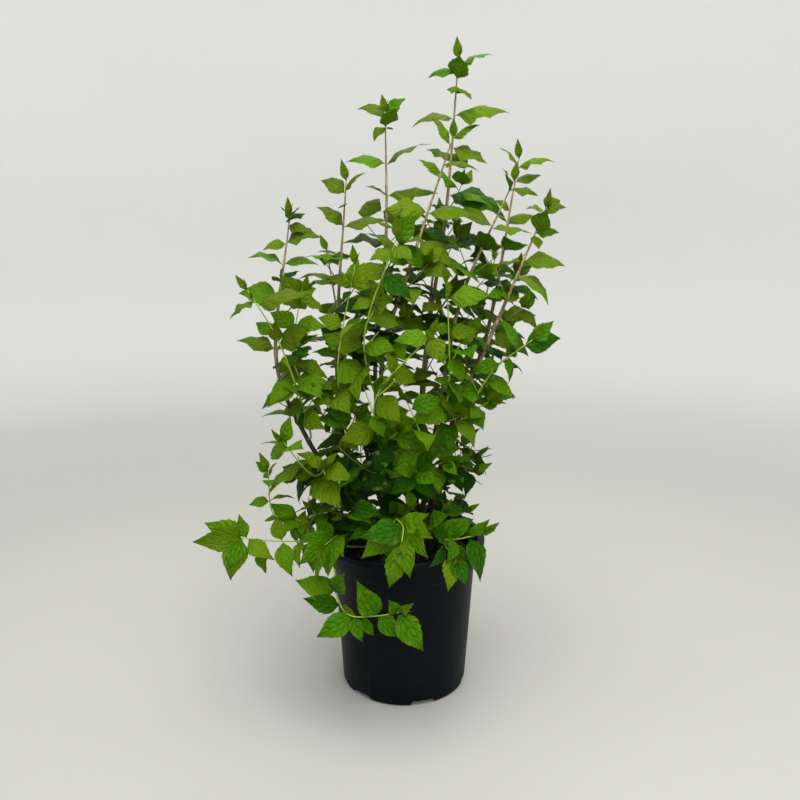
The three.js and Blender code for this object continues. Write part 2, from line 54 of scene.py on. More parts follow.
# %% Set up the camera
scene = bpy.context.scene
scene.view_settings.view_transform = "Standard"
camera_data = bpy.data.cameras.new("camera")
camera_data.sensor_width = 36
camera_data.lens = 33.3
camera_data.clip_start = 0.02
camera = bpy.data.objects.new("camera", camera_data)
camera.location = (-0.006, -0.999, 0.590)
camera.rotation_euler = (math.radians(90 - 10.43), 0, 0)
scene.collection.objects.link(camera)
scene.camera = camera
print("camera at", tuple(round(x, 3) for x in camera.location))

# %% [markdown]
# ## From arrays to a mesh
# All the shapes below are worked out as whole arrays of points. This helper turns such arrays
# into a Blender object. It could go through `bmesh`, one face at a time, but `foreach_set`
# writes a hundred thousand corners in one call. Here too millimetres become metres.

# %% A helper that makes a piece
MILLIMETRE = 0.001


def new_piece(name, points, quads, triangles=(), finishes=(), looks=None, smooth=True, blade=None):
    """A mesh object from points (n, 3) in millimetres, and quads and triangles of their numbers.

    looks gives each face's number in finishes, the quads' first and then the triangles'. blade
    gives each point's place on a leaf, for a map; an edge that lies along a margin stays sharp.
    """
    quads = np.asarray(quads, np.int32).reshape(-1, 4)
    triangles = np.asarray(triangles, np.int32).reshape(-1, 3)
    corners = np.concatenate([quads.ravel(), triangles.ravel()])
    starts = np.concatenate([
        np.arange(len(quads)) * 4,
        4 * len(quads) + np.arange(len(triangles)) * 3,
    ])
    mesh = bpy.data.meshes.new(name)
    mesh.vertices.add(len(points))
    mesh.vertices.foreach_set("co", (points * MILLIMETRE).astype(np.float32).ravel())
    mesh.loops.add(len(corners))
    mesh.loops.foreach_set("vertex_index", corners)
    mesh.polygons.add(len(starts))
    mesh.polygons.foreach_set("loop_start", starts.astype(np.int32))
    for finish in finishes:
        mesh.materials.append(finish)
    if looks is not None:
        mesh.polygons.foreach_set("material_index", np.asarray(looks, np.int32))
    mesh.update(calc_edges=True)
    mesh.validate()
    mesh.polygons.foreach_set("use_smooth", np.full(len(starts), smooth))
    if blade is not None:
        layer = mesh.uv_layers.new(name="blade")
        layer.data.foreach_set("uv", blade[corners].astype(np.float32).ravel())
        ends = np.empty(len(mesh.edges) * 2, np.int32)
        mesh.edges.foreach_get("vertices", ends)
        side = blade[ends.reshape(-1, 2), 1]
        margin = ((side < 0.01) | (side > 0.99)).all(axis=1) & (side[:, 0] == side[:, 1])
        sharp = mesh.attributes.new("sharp_edge", "BOOLEAN", "EDGE")
        sharp.data.foreach_set("value", margin)
    piece = bpy.data.objects.new(name, mesh)
    scene.collection.objects.link(piece)
    print(f"{name}: {len(points)} points, {len(quads) * 2 + len(triangles)} triangles")
    return piece


# %% [markdown]
# ## A short way to write materials
# A material is a tree of nodes, and laying them by hand in code hides the idea behind the wires.
# `Wire` stands for one output, and its operators add Math nodes, so `1 - mask` reads as it means.
# `Finish` is one material, and its `add` method makes any other node.

# %% Wires and finishes
class Wire:
    """One output of a node, which adds Math nodes when it is used in a sum."""

    def __init__(self, finish, socket):
        self.finish = finish
        self.socket = socket

    def __add__(self, other):
        return self.finish.maths("ADD", self, other)

    def __sub__(self, other):
        return self.finish.maths("SUBTRACT", self, other)

    def __rsub__(self, other):
        return self.finish.maths("SUBTRACT", other, self)

    def __mul__(self, other):
        return self.finish.maths("MULTIPLY", self, other)

    def __pow__(self, other):
        return self.finish.maths("POWER", self, other)

    __radd__ = __add__
    __rmul__ = __mul__


class Finish:
    """One material and its nodes."""

    def __init__(self, name):
        self.material = bpy.data.materials.new(name)
        self.material.use_nodes = True
        self.nodes = self.material.node_tree.nodes
        self.links = self.material.node_tree.links
        self.nodes.clear()

    def add(self, kind, settings=None, inputs=None, output=0):
        """A node of some type: its settings first, then values or wires for its sockets."""
        node = self.nodes.new(kind)
        for name, value in (settings or {}).items():
            setattr(node, name, value)
        for name, value in (inputs or {}).items():
            if isinstance(value, Wire):
                self.links.new(value.socket, node.inputs[name])
            else:
                node.inputs[name].default_value = value
        return Wire(self, node.outputs[output])

    def maths(self, operation, *values):
        """A Math node of some operation on values or wires."""
        return self.add("ShaderNodeMath", {"operation": operation}, dict(enumerate(values)))

    def place(self, stretch=(1, 1, 1)):
        """Object coordinates, stretched along the axes."""
        place = self.add("ShaderNodeTexCoord", output="Object")
        return self.add("ShaderNodeMapping", {}, {"Vector": place, "Scale": stretch})

    def axis(self, place, name):
        """One coordinate of a place: X, Y or Z."""
        return self.add("ShaderNodeSeparateXYZ", {}, {0: place}, output=name)

    def noise(self, place, scale, detail=2.0):
        """Soft noise from 0 to 1."""
        inputs = {"Vector": place, "Scale": scale, "Detail": detail}
        return self.add("ShaderNodeTexNoise", {}, inputs)

    def between(self, value, low, high):
        """0 where value is under low, 1 where it is over high, and a smooth rise between."""
        inputs = {"Value": value, "From Min": low, "From Max": high}
        return self.add("ShaderNodeMapRange", {"interpolation_type": "SMOOTHSTEP"}, inputs)

    def tint(self, share, first, second):
        """The first colour where share is 0 and the second where it is 1."""
        settings = {"data_type": "RGBA", "clamp_factor": True}
        return self.add("ShaderNodeMix", settings, {0: share, 6: first, 7: second}, output=2)

    def bump(self, height, strength, distance):
        """A surface normal tilted by a height."""
        inputs = {"Height": height, "Strength": strength, "Distance": distance}
        return self.add("ShaderNodeBump", {}, inputs)

    def surface(self, colour, roughness, normal=None, through=None, share=0.0, **fixed):
        """The Principled shader, mixed with light that comes through where through is a colour."""
        inputs = {"Base Color": colour, "Roughness": roughness}
        if normal is not None:
            inputs["Normal"] = normal
        inputs.update({name.replace("_", " "): value for name, value in fixed.items()})
        shader = self.add("ShaderNodeBsdfPrincipled", {}, inputs)
        if through is not None:
            glow = self.add("ShaderNodeBsdfTranslucent", {}, {"Color": through})
            shader = self.add("ShaderNodeMixShader", {}, {0: share, 1: shader, 2: glow})
        end = self.nodes.new("ShaderNodeOutputMaterial")
        self.links.new(shader.socket, end.inputs["Surface"])
        return self.material


def tone(red, green, blue):
    """A colour from screen values of 0 to 255: each is raised to about 2.2 to make it linear."""
    screen = np.array([red, green, blue]) / 255
    linear = np.where(screen <= 0.04045, screen / 12.92, ((screen + 0.055) / 1.055) ** 2.4)
    return (*linear.tolist(), 1.0)


print("a mid grey is", [round(x, 3) for x in tone(128, 128, 128)[:3]], "in linear light")

# %% [markdown]
# ## The studio
# The plant stands on a pale floor under soft light. A flat floor would end in a hard line,
# so the floor bends up into a wall all round, as a sweep of paper in a studio does. It is a
# profile turned about the upright axis, so that the plant looks the same from every side. Its
# tone carries painted shade, greyer near the plant and paler up the wall, and the upper wall
# glows with painted light.

# %% Surfaces that are turned about the upright axis
def ring_faces(rings, sides):
    """Quads between rings of points, and the triangles that close the first and the last ring.

    Point j of ring i has the number i * sides + j. The middles of the two ends come after them.
    """
    ring, side = np.meshgrid(np.arange(rings - 1), np.arange(sides), indexing="ij")
    here, beside = ring * sides + side, ring * sides + (side + 1) % sides
    quads = np.stack([here, beside, beside + sides, here + sides], axis=-1).reshape(-1, 4)
    side, last, middle = np.arange(sides), (rings - 1) * sides, rings * sides
    fans = np.concatenate([
        np.stack([np.full(sides, middle), (side + 1) % sides, side], axis=-1),
        np.stack([np.full(sides, middle + 1), last + side, last + (side + 1) % sides], axis=-1),
    ])
    return quads, fans


def all_round(values, steps):
    """A profile's values, the same at every step round the axis: an array (rows, steps)."""
    return np.repeat(np.asarray(values, float)[:, None], steps, axis=1)


def turned(radii, heights):
    """Points and faces of a surface of revolution, from arrays (rows, steps) of radius and height.

    Point (i, j) lies at the angle 2 pi j / steps. The first and last rows are poles: each is one
    point, where the surface closes.
    """
    rows, steps = radii.shape
    angle = np.linspace(0, 2 * np.pi, steps, endpoint=False)
    points = np.stack([radii * np.cos(angle), radii * np.sin(angle), heights], axis=-1)
    poles = points[[0, -1]].mean(axis=1)
    return np.concatenate([points[1:-1].reshape(-1, 3), poles]), *ring_faces(rows - 2, steps)


# %% Pale floor, with painted shade and painted light
FLOOR_RING, FLOOR_REACH, BEND_RADIUS, WALL_TOP = 700, 2100, 900, 4200
BEND_STEPS, SWEEP_STEPS = 13, 96

paper = Finish("studio_paper")
paper_grain = paper.noise(paper.place(), 3.0)
paper_x, paper_y, paper_z = (paper.axis(paper.place(), name) for name in "XYZ")
paper_run = paper.maths("SQRT", paper_x**2 + paper_y**2) + paper_z + paper_grain * 0.04
# painted shade: the paper's tone is greyer near the plant and paler farther out and up the wall
painted_paper_shade = paper.between(paper_run, 1.0, 3.2)
paper_colour_with_painted_shade = paper.tint(painted_paper_shade, tone(168, 168, 163), tone(208, 209, 207))
# painted light: the paper glows by its own emission towards the top of the wall
painted_paper_glow = paper.between(paper_run, 3.3, 4.9)
painted_paper_light = paper.tint(painted_paper_glow, tone(0, 0, 0), tone(255, 255, 252))
paper.surface(paper_colour_with_painted_shade, 0.9, Specular_IOR_Level=0.1, Emission_Color=painted_paper_light,
              Emission_Strength=0.12)

bend = np.linspace(0, np.pi / 2, BEND_STEPS)
bend_radii = FLOOR_REACH + BEND_RADIUS * np.sin(bend)
bend_heights = BEND_RADIUS * (1 - np.cos(bend))
sweep_points, sweep_quads, sweep_fans = turned(
    all_round([0, FLOOR_RING, *bend_radii, bend_radii[-1], 0], SWEEP_STEPS),
    all_round([0, 0, *bend_heights, WALL_TOP, WALL_TOP], SWEEP_STEPS),
)
open_top = sweep_fans[:SWEEP_STEPS]
floor = new_piece("studio_floor", sweep_points, sweep_quads[:, ::-1],
                  open_top[:, ::-1], [paper.material])

# %% Soft light
PLANT_MIDDLE = np.array([0, 0, 0.4])


def softbox(name, place, size, watts, colour):
    """A square area light at a place in metres that faces the middle of the plant."""
    data = bpy.data.lights.new(name, "AREA")
    data.size = size
    data.energy = watts
    data.color = colour
    light = bpy.data.objects.new(name, data)
    light.location = place
    towards = PLANT_MIDDLE - np.array(place)
    across = math.hypot(towards[0], towards[1])
    turn = math.atan2(towards[1], towards[0]) - math.pi / 2
    light.rotation_euler = (math.pi / 2 + math.atan2(towards[2], across), 0, turn)
    light.visible_camera = False
    scene.collection.objects.link(light)


softbox("key_light", (0.08, -0.55, 2.6), 1.9, 70, (1.0, 0.99, 0.97))
softbox("fill_light", (0.4, -2.0, 1.5), 1.6, 26, (1.0, 1.0, 0.98))
softbox("back_light", (0.3, 1.6, 2.2), 1.4, 14, (1.0, 1.0, 0.97))
world = bpy.data.worlds.new("studio_air")
world.use_nodes = True
air = world.node_tree.nodes["Background"].inputs
air["Color"].default_value = (0.98, 0.98, 0.97, 1)
air["Strength"].default_value = 0.7
scene.world = world
print("lights:", [light.name for light in bpy.data.lights])

# %% [markdown]
# ## The pot
# The pot is a moulded nursery pot: a plain wall that widens upwards, a shoulder, a collar and a
# rolled lip, on a foot ring with six notches that let water out. A lathe profile says all that in
# a few pairs of numbers. Each corner of the profile is rounded as a mould rounds it, which the
# Bevel modifier could do as well, and the notches lift the foot ring wherever they cross it.

# %% Shape of the pot
POT = {
    "height": 215, "base": 88, "shoulder": 99.5, "shoulder_height": 178, "collar": 103,
    "collar_top": 105.5, "lip": 113.5, "lip_depth": 11, "wall": 2, "floor_top": 8.5,
    "recess": 6, "foot": 10, "boss": 28, "notches": 6, "notch_width": 33, "notch_height": 7,
    "notch_turn": -13,
}
ROUND_STEPS, MOULD_RADIUS, NOTCH_SLOPE = 192, 1.6, 1.5


def rounded(profile, radius, steps=4):
    """A profile whose corners are bent: each corner c between a and b becomes the curve
    (1-t)^2 a + 2t(1-t) c + t^2 b, with a and b at most radius away along its two edges."""
    corners = np.array(profile, float)
    before, after = corners[:-2] - corners[1:-1], corners[2:] - corners[1:-1]
    lengths = np.stack([np.linalg.norm(before, axis=1), np.linalg.norm(after, axis=1)])
    reach = np.minimum(radius, 0.45 * lengths)
    start = corners[1:-1] + before * (reach[0] / lengths[0])[:, None]
    end = corners[1:-1] + after * (reach[1] / lengths[1])[:, None]
    t = np.linspace(0, 1, steps)[None, :, None]
    middle = corners[1:-1, None]
    bent = (1 - t) ** 2 * start[:, None] + 2 * t * (1 - t) * middle + t**2 * end[:, None]
    return np.concatenate([corners[:1], bent.reshape(-1, 2), corners[-1:]])


def wall_radius(height):
    """Outer radius of the plain wall: it grows evenly from the base to the shoulder."""
    return POT["base"] + (POT["shoulder"] - POT["base"]) * height / POT["shoulder_height"]


def pot_profile():
    """Radius and height pairs from the middle of the underside, out, up, over the lip and in."""
    names = "height base wall shoulder_height collar collar_top lip boss recess floor_top"
    top, base, wall, shoulder, collar, collar_top, lip, boss, recess, floor_top = (
        POT[name] for name in names.split())
    foot, lip_foot = base - POT["foot"], top - POT["lip_depth"]
    return [
        (0, 0), (boss, 0), (boss + 1, recess), (foot - 1, recess), (foot, 0), (base - 2.5, 0),
        (wall_radius(2.5), 2.5), (wall_radius(60), 60), (wall_radius(120), 120),
        (wall_radius(shoulder - 1), shoulder - 1), (collar, shoulder + 1.5),
        (collar + 1.2, 190), (collar_top, lip_foot - 1), (lip - 0.8, lip_foot - 0.4),
        (lip, lip_foot + 1), (lip - 0.3, top - 2), (lip - 2.2, top), (collar_top - 0.5, top),
        (collar_top - wall, top - 2.5), (collar - wall, shoulder + 2.5),
        (wall_radius(shoulder) - wall, shoulder), (wall_radius(90) - wall, 90),
        (wall_radius(floor_top) - wall, floor_top), (0, floor_top),
    ]


pot_line = rounded(pot_profile(), MOULD_RADIUS)
pot_angle = np.degrees(np.linspace(0, 2 * np.pi, ROUND_STEPS, endpoint=False))
between_notches = 360 / POT["notches"]
notch_place = pot_angle - POT["notch_turn"] + between_notches / 2
notch_place = np.radians(notch_place % between_notches - between_notches / 2) * POT["base"]
notch_depth = POT["notch_height"] * np.clip(
    (POT["notch_width"] / 2 + 1 - abs(notch_place)) / NOTCH_SLOPE, 0, 1)
pot_radii = all_round(pot_line[:, 0], ROUND_STEPS)
pot_heights = all_round(pot_line[:, 1], ROUND_STEPS)
in_foot_ring = (pot_radii > POT["base"] - POT["foot"] - 5) & (pot_heights < POT["notch_height"])
pot_heights = np.where(in_foot_ring, np.maximum(pot_heights, notch_depth), pot_heights)
print("the pot's profile has", len(pot_line), "points")

# %% [markdown]
# Its plastic is black with a breath of blue. It is not polished: a fine grain from the mould
# breaks up the gloss, and dust and dry splashes of soil make it paler and duller in places.

# %% Finish of the pot
plastic = Finish("pot_plastic")
plastic_place = plastic.place()
grain = plastic.noise(plastic_place, 900.0, 3.0)
dust = plastic.between(plastic.noise(plastic_place, 14.0, 5.0), 0.5, 0.8)
scuffs = plastic.between(plastic.noise(plastic.place((1, 1, 0.12)), 120.0, 3.0), 0.6, 0.75)
plastic_colour = plastic.tint(dust * 0.35 + scuffs * 0.1, tone(2, 8, 13), tone(15, 24, 29))
plastic.surface(plastic_colour, 0.46 + dust * 0.15 + scuffs * 0.1,
                plastic.bump(grain, 0.12, 0.0004), Specular_IOR_Level=0.09)

pot_points, pot_quads, pot_fans = turned(pot_radii, pot_heights)
pot = new_piece("nursery_pot", pot_points, pot_quads, pot_fans, [plastic.material])
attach(pot, "root")
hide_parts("pot")

# %% [markdown]
# ## The soil
# The pot is filled with potting mix: dark peat with crumbs of bark. Its body is a turned solid
# whose top is rough. The roughness is a sum of sine waves of random directions, which needs no
# image and is the same each time. Loose crumbs lie on it, some hundreds of small crooked blocks.

# %% Body of the soil
SOIL_LEVEL, SOIL_EDGE_DROP, SOIL_FLAT = 188, 5, 78
SOIL_RINGS, SOIL_STEPS, ROUGHNESS = 42, 144, 0.8
GAP = 0.3
rng = np.random.default_rng(7)


def ripples(x, y, waves, longest, shortest):
    """Roughness as a sum of sines: each wave has its own direction, length and phase, and a
    height that falls with its length."""
    length = np.geomspace(longest, shortest, waves)
    angle, phase = rng.uniform(0, 2 * np.pi, (2, waves))
    along = x[..., None] * np.cos(angle) + y[..., None] * np.sin(angle)
    return (np.sin(2 * np.pi * along / length + phase) * (length / longest) ** 0.6).sum(-1)


soil_foot = POT["floor_top"] + GAP
soil_wall = wall_radius(POT["shoulder_height"] - 1) - POT["wall"] - GAP
soil_foot_radius = wall_radius(soil_foot) - POT["wall"] - GAP


def soil_fall(radius):
    """How far the soil's top lies under its level: it slopes down evenly outside the flat part."""
    return SOIL_EDGE_DROP * np.clip((radius - SOIL_FLAT) / (soil_wall - SOIL_FLAT), 0, 1)


top_radii = np.linspace(0, soil_wall, SOIL_RINGS)[::-1]
soil_radii = all_round([0, soil_foot_radius, soil_wall, *top_radii], SOIL_STEPS)
soil_heights = all_round([soil_foot, soil_foot, POT["shoulder_height"] - 1,
                          *(SOIL_LEVEL - soil_fall(top_radii))], SOIL_STEPS)
soil_angle = np.linspace(0, 2 * np.pi, SOIL_STEPS, endpoint=False)
rough = ripples(soil_radii * np.cos(soil_angle), soil_radii * np.sin(soil_angle), 26, 60, 5)
on_top = (np.arange(len(soil_radii))[:, None] >= 3) & (soil_radii > 0)
soil_heights = np.where(on_top, soil_heights + ROUGHNESS * rough, soil_heights)
print("the soil fills the pot to", SOIL_LEVEL, "mm")

# %% Finish of the soil
peat = Finish("peat")
peat_place = peat.place()
crumb = peat.noise(peat_place, 420.0, 5.0)
damp = peat.noise(peat_place, 22.0)
peat_light = peat.tint(damp, tone(62, 48, 38), tone(44, 33, 26))
peat_colour = peat.tint(crumb, tone(20, 15, 12), peat_light)
peat.surface(peat_colour, 0.95, peat.bump(crumb, 0.8, 0.002), Specular_IOR_Level=0.2)
soil_points, soil_quads, soil_fans = turned(soil_radii, soil_heights)
soil = new_piece("potting_mix", soil_points, soil_quads, soil_fans, [peat.material])
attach(soil, "root")
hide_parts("soil")

# %% Crumbs on the soil
CRUMBS, CRUMB_REACH = 760, 94
cube = np.array([(x, y, z) for x in (-1, 1) for y in (-1, 1) for z in (-1, 1)], float) / 2
cube_faces = np.array([
    (0, 1, 3, 2), (4, 6, 7, 5), (0, 4, 5, 1), (2, 3, 7, 6), (0, 2, 6, 4), (1, 5, 7, 3),
])


def turns(angles):
    """Rotation matrices (n, 3, 3) from three angles each: about X, then Y, then Z."""
    x, y, z = matrices = np.tile(np.eye(3), (3, len(angles), 1, 1))
    for axis, matrix in enumerate(matrices):
        first, second = (axis + 1) % 3, (axis + 2) % 3
        cosine, sine = np.cos(angles[:, axis]), np.sin(angles[:, axis])
        matrix[:, first, first] = matrix[:, second, second] = cosine
        matrix[:, second, first], matrix[:, first, second] = sine, -sine
    return z @ y @ x


crumb_size = rng.gamma(2.2, 1.5, (CRUMBS, 1)).clip(1.2, 9)
crumb_size = crumb_size * rng.uniform((1.0, 0.6, 0.3), (1.8, 1.0, 0.6), (CRUMBS, 3))
crumb_radius = CRUMB_REACH * np.sqrt(rng.uniform(0.01, 1, CRUMBS))
crumb_angle = rng.uniform(0, 2 * np.pi, CRUMBS)
crumb_height = SOIL_LEVEL - soil_fall(crumb_radius) + rng.uniform(0.6, 2.4, CRUMBS)
crumb_middle = np.stack([crumb_radius * np.cos(crumb_angle),
                         crumb_radius * np.sin(crumb_angle), crumb_height], -1)
crumb_turn = turns(rng.uniform((-0.5, -0.5, 0), (0.5, 0.5, 6.28), (CRUMBS, 3)))
crumb_points = cube * (1 + rng.uniform(-0.35, 0.1, (CRUMBS, 8, 1))) * crumb_size[:, None]
crumb_points = crumb_points @ crumb_turn.transpose(0, 2, 1) + crumb_middle[:, None]
crumb_faces = cube_faces + 8 * np.arange(CRUMBS)[:, None, None]


def crumb_finish(name, light, dark):
    """Rough matter of two tones, streaked along one axis as torn bark is."""
    finish = Finish(name)
    streaks = finish.noise(finish.place((1, 0.3, 1)), 600.0, 3.0)
    colour = finish.tint(streaks, dark, light)
    return finish.surface(colour, 0.9, finish.bump(streaks, 0.5, 0.001), Specular_IOR_Level=0.2)


crumb_finishes = [
    crumb_finish("peat_lumps", tone(66, 50, 39), tone(30, 22, 17)),
    crumb_finish("bark_chips", tone(112, 82, 58), tone(58, 40, 28)),
    crumb_finish("pale_fibre", tone(150, 126, 96), tone(96, 76, 56)),
]
crumb_looks = np.repeat(rng.choice(3, CRUMBS, p=(0.62, 0.32, 0.06)), 6)
crumbs = new_piece("soil_crumbs", crumb_points.reshape(-1, 3), crumb_faces.reshape(-1, 4), (),
                   crumb_finishes, crumb_looks, smooth=False)
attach(crumbs, "root")

# %% [markdown]
# ## Curves with a measured length
# Canes and shoots bend smoothly through a few points. A centripetal Catmull-Rom curve does that
# without loops, and passes through every point, which a Bezier curve doesn't. To set leaves at
# even steps, the curve's length is measured along 200 short chords.

# %% Curves
UP = np.array([0.0, 0.0, 1.0])


def unit(vectors):
    """Vectors divided by their lengths."""
    return vectors / np.linalg.norm(vectors, axis=-1, keepdims=True)


def squared(vector, ahead):
    """The part of a vector that is square to a direction, made one long."""
    return unit(vector - vector @ ahead * ahead)


class Line:
    """A curve, asked for by shares of its length."""

    def __init__(self, at):
        self.at = at
        self.steps = np.linspace(0, 1, 201)
        chords = np.linalg.norm(np.diff(at(self.steps), axis=0), axis=1)
        self.run = np.concatenate([[0], np.cumsum(chords)])
        self.length = self.run[-1]

    def step(self, shares):
        """The curve's own parameter at shares of its length, read off the measured chords."""
        return np.interp(np.atleast_1d(shares) * self.length, self.run, self.steps)

    def points(self, shares):
        """Points at shares of the length."""
        return self.at(self.step(shares))

    def headings(self, shares):
        """Directions there, from points a ten-thousandth before and after."""
        step = self.step(shares)
        return unit(self.at(np.clip(step + 1e-4, 0, 1)) - self.at(np.clip(step - 1e-4, 0, 1)))

    def point(self, share):
        """One point."""
        return self.points(share)[0]

    def heading(self, share):
        """One direction."""
        return self.headings(share)[0]


def through(way):
    """The Catmull-Rom curve through some points: between two of them it is the cubic whose slopes
    at both come from the points around, weighted by the square roots of the distances."""
    way = np.array(way, float)
    ends = np.vstack([2 * way[0] - way[1], way, 2 * way[-1] - way[-2]])
    root = np.sqrt(np.linalg.norm(np.diff(ends, axis=0), axis=1))[:, None]

    def at(steps):
        place = np.clip(steps, 0, 1) * (len(way) - 1)
        i = np.minimum(place.astype(int), len(way) - 2)
        t = (place - i)[:, None]
        a, b, c, d = ends[i], ends[i + 1], ends[i + 2], ends[i + 3]
        ra, rb, rc = root[i], root[i + 1], root[i + 2]
        leave = ((b - a) / ra - (c - a) / (ra + rb) + (c - b) / rb) * rb
        arrive = ((c - b) / rb - (d - b) / (rb + rc) + (d - c) / rc) * rb
        return (b + leave * t + (3 * (c - b) - 2 * leave - arrive) * t**2
                + (2 * (b - c) + leave + arrive) * t**3)

    return Line(at)


def bow(start, middle, end):
    """The curve (1-t)^2 start + 2t(1-t) middle + t^2 end."""
    def at(steps):
        t = np.asarray(steps)[:, None]
        return (1 - t) ** 2 * start + 2 * t * (1 - t) * middle + t**2 * end

    return Line(at)


arch = through([(-1, 0, 0), (0, 0, 1), (1, 0, 0)])
print("a curve through three points of a half circle is", round(arch.length, 2), "radii long")

# %% [markdown]
# ## The canes
# Eleven canes rise from the soil. Their ways are the frame's own: the foot, and three points on
# the way up. A cane is thickest at its flared foot and tapers evenly to the place where its
# leafy head starts, and then on to a thin tip.

# %% Ways of the canes
FOOT_RADIUS, NECK_RADIUS, TIP_RADIUS, STEM_TAPER = 3.9, 2.9, 0.7, 1.6
FLARE, FLARE_HEIGHT, COLLAR = 1.7, 14, 6

# name: foot in plan, way up to the tip, neck as a share of the length, turn of the first leaf
# pair, and the directions in plan of the low and the middle spray, in degrees
CANES = {
    "tall": ((10, 10), ((30, 20, 475), (55, 25, 650), (70, 25, 852)),
        0.4, 0, 70, -92),
    "tall_left": ((-8, -14), ((-30, -20, 460), (5, -30, 580), (60, -35, 745)),
        0.42, 10, -108, -112),
    "straight": ((-16, 8), ((-40, 5, 445), (-25, 10, 615), (-25, 15, 785)),
        0.42, 0, -125, 130),
    "left_mid": ((-24, -6), ((-85, -10, 365), (-90, -10, 490), (-75, -15, 695)),
        0.42, 20, 150, -128),
    "left": ((-30, -18), ((-135, -35, 370), (-165, -50, 460), (-145, -40, 650)),
        0.45, 30, 180, -165),
    "right": ((16, -8), ((50, -10, 410), (75, -15, 545), (140, -15, 695)),
        0.42, 0, -85, -68),
    "right_out": ((26, -20), ((65, -30, 380), (105, -50, 485), (175, -60, 660)),
        0.42, 15, -32, -12),
    "right_in": ((27, 4), ((85, 20, 405), (115, 30, 495), (155, 45, 730)),
        0.42, 0, 5, 20),
    "back": ((4, 28), ((30, 75, 420), (40, 110, 550), (55, 130, 660)),
        0.4, 0, 100, 80),
    "back_left": ((-16, 26), ((-75, 65, 395), (-100, 105, 525), (-115, 125, 610)),
        0.4, 40, 135, 150),
    "back_right": ((24, 22), ((75, 65, 380), (110, 105, 495), (135, 125, 595)),
        0.4, 60, 35, 50),
}
print(len(CANES), "canes")

# %% [markdown]
# ## The shoots
# Thin green shoots leave the canes low down and arch outwards, and four of them lean over the
# rim. Each has a way of its own, as the frame's shoots have, given by a few points.

# %% Ways of the shoots
# name: the cane it grows on, where as a share of its length, its way, and its turn
SHOOTS = {
    "left_green": ("left", 0.4, ((-155, -90, 495), (-190, -100, 560)), 0),
    "left_thin": ("left_mid", 0.36, ((-140, -75, 470), (-130, -85, 540)), 30),
    "mid_green": ("left_mid", 0.3, ((-85, -70, 455), (-60, -95, 590)), 0),
    "mid_green_2": ("tall_left", 0.38, ((-50, -90, 500), (-10, -110, 620)), 45),
    "front_long": ("tall_left", 0.25, ((-35, -115, 430), (30, -150, 510)), 0),
    "right_low": ("right_out", 0.38, ((112, -82, 460), (158, -95, 500)), 20),
    "centre_green": ("right", 0.33, ((55, -80, 430), (50, -110, 570)), 8),
    "centre_low": ("right", 0.22, ((30, -75, 350), (2, -105, 425)), 0),
    "low_left": ("left", 0.1, ((-135, -95, 239), (-163, -115, 247), (-202, -136, 259)), 0),
    "hanging": ("left", 0.05, ((-108, -84, 224), (-91, -103, 208), (-88, -115, 178),
                               (-72, -135, 158), (-35, -158, 167), (-6, -172, 179)), 0),
    "left_inner": ("left", 0.27, ((-125, -85, 330), (-152, -100, 372)), 0),
    "left_arc": ("left", 0.19, ((-165, -90, 270), (-172, -100, 335)), 0),
    "front": ("tall_left", 0.1, ((-9, -105, 271), (-2, -138, 272), (-4, -152, 259)), 0),
    "front_right": ("right_out", 0.12, ((46, -80, 237), (70, -105, 246), (99, -118, 259)), 0),
}
print(len(SHOOTS), "shoots")

# %% [markdown]
# ## Leaves that are placed one by one
# Most leaves can follow a rule. Those that stand clear of the crown are seen one at a time: over
# the rim, and high up on some heads and shoots. Each of them is given by the place on its stem
# and by its tip, because a rule with chance in it would hardly ever put them all right.

# %% Leaves over the rim
# where a shoot leans over the rim, its leaves one by one: share of the stem and leaf tip
TIPS = {
    "low_left": (
        (0.3, -82, -112, 204), (0.3, -112, -36, 262), (0.43, -112, -122, 208),
        (0.43, -138, -46, 238), (0.56, -134, -132, 216), (0.56, -134, -64, 270),
        (0.7, -142, -128, 204), (0.7, -163, -92, 272), (0.83, -170, -132, 210),
        (0.95, -208, -122, 284), (0.95, -157, -150, 237),
        (0.985, -242, -145, 284), (0.985, -257, -150, 253), (0.985, -211, -160, 229),
        (0.985, -215, -150, 210),
    ),
    "hanging": (
        (0.58, -140, -118, 192), (0.58, -74, -140, 215), (0.65, -129, -128, 174),
        (0.65, -60, -138, 158), (0.74, -110, -150, 135), (0.74, -53, -158, 131),
        (0.79, -37, -152, 138), (0.88, -62, -166, 214), (0.88, -1, -168, 146),
        (0.985, -21, -186, 200), (0.985, 24, -180, 133),
    ),
    "front": (
        (0.5, -52, -98, 236), (0.5, 38, -104, 244), (0.72, -52, -160, 239), (0.72, 28, -150, 236),
        (0.86, -54, -165, 264), (0.86, 30, -160, 298), (0.985, 10, -168, 221),
        (0.985, -17, -160, 202),
    ),
    "front_right": (
        (0.42, 30, -112, 205), (0.42, 92, -66, 258), (0.66, 52, -132, 223), (0.66, 59, -112, 273),
        (0.84, 99, -128, 199), (0.84, 105, -120, 279), (0.985, 112, -124, 266),
    ),
}
# on such a shoot, side twigs: share of the stem, the twig's middle and end, and its leaf tips
RIM_TWIGS = {
    "low_left": (
        (0.26, (-84, -80, 246), (-102, -108, 238), (
            (0.5, -76, -118, 226), (0.5, -120, -76, 262), (0.75, -92, -134, 208),
            (0.75, -134, -104, 252), (0.97, -112, -146, 206), (0.97, -134, -134, 226),
        )),
        (0.5, (-124, -72, 256), (-142, -82, 264), (
            (0.6, -128, -104, 250), (0.6, -140, -50, 268), (0.97, -152, -112, 256),
            (0.97, -176, -84, 284),
        )),
    ),
    "front_right": (
        (0.3, (52, -92, 232), (62, -118, 226), (
            (0.6, 30, -128, 214), (0.6, 84, -112, 214), (0.97, 50, -152, 196),
            (0.97, 78, -146, 200),
        )),
    ),
}
print(sum(map(len, TIPS.values())), "leaves on the stems over the rim")

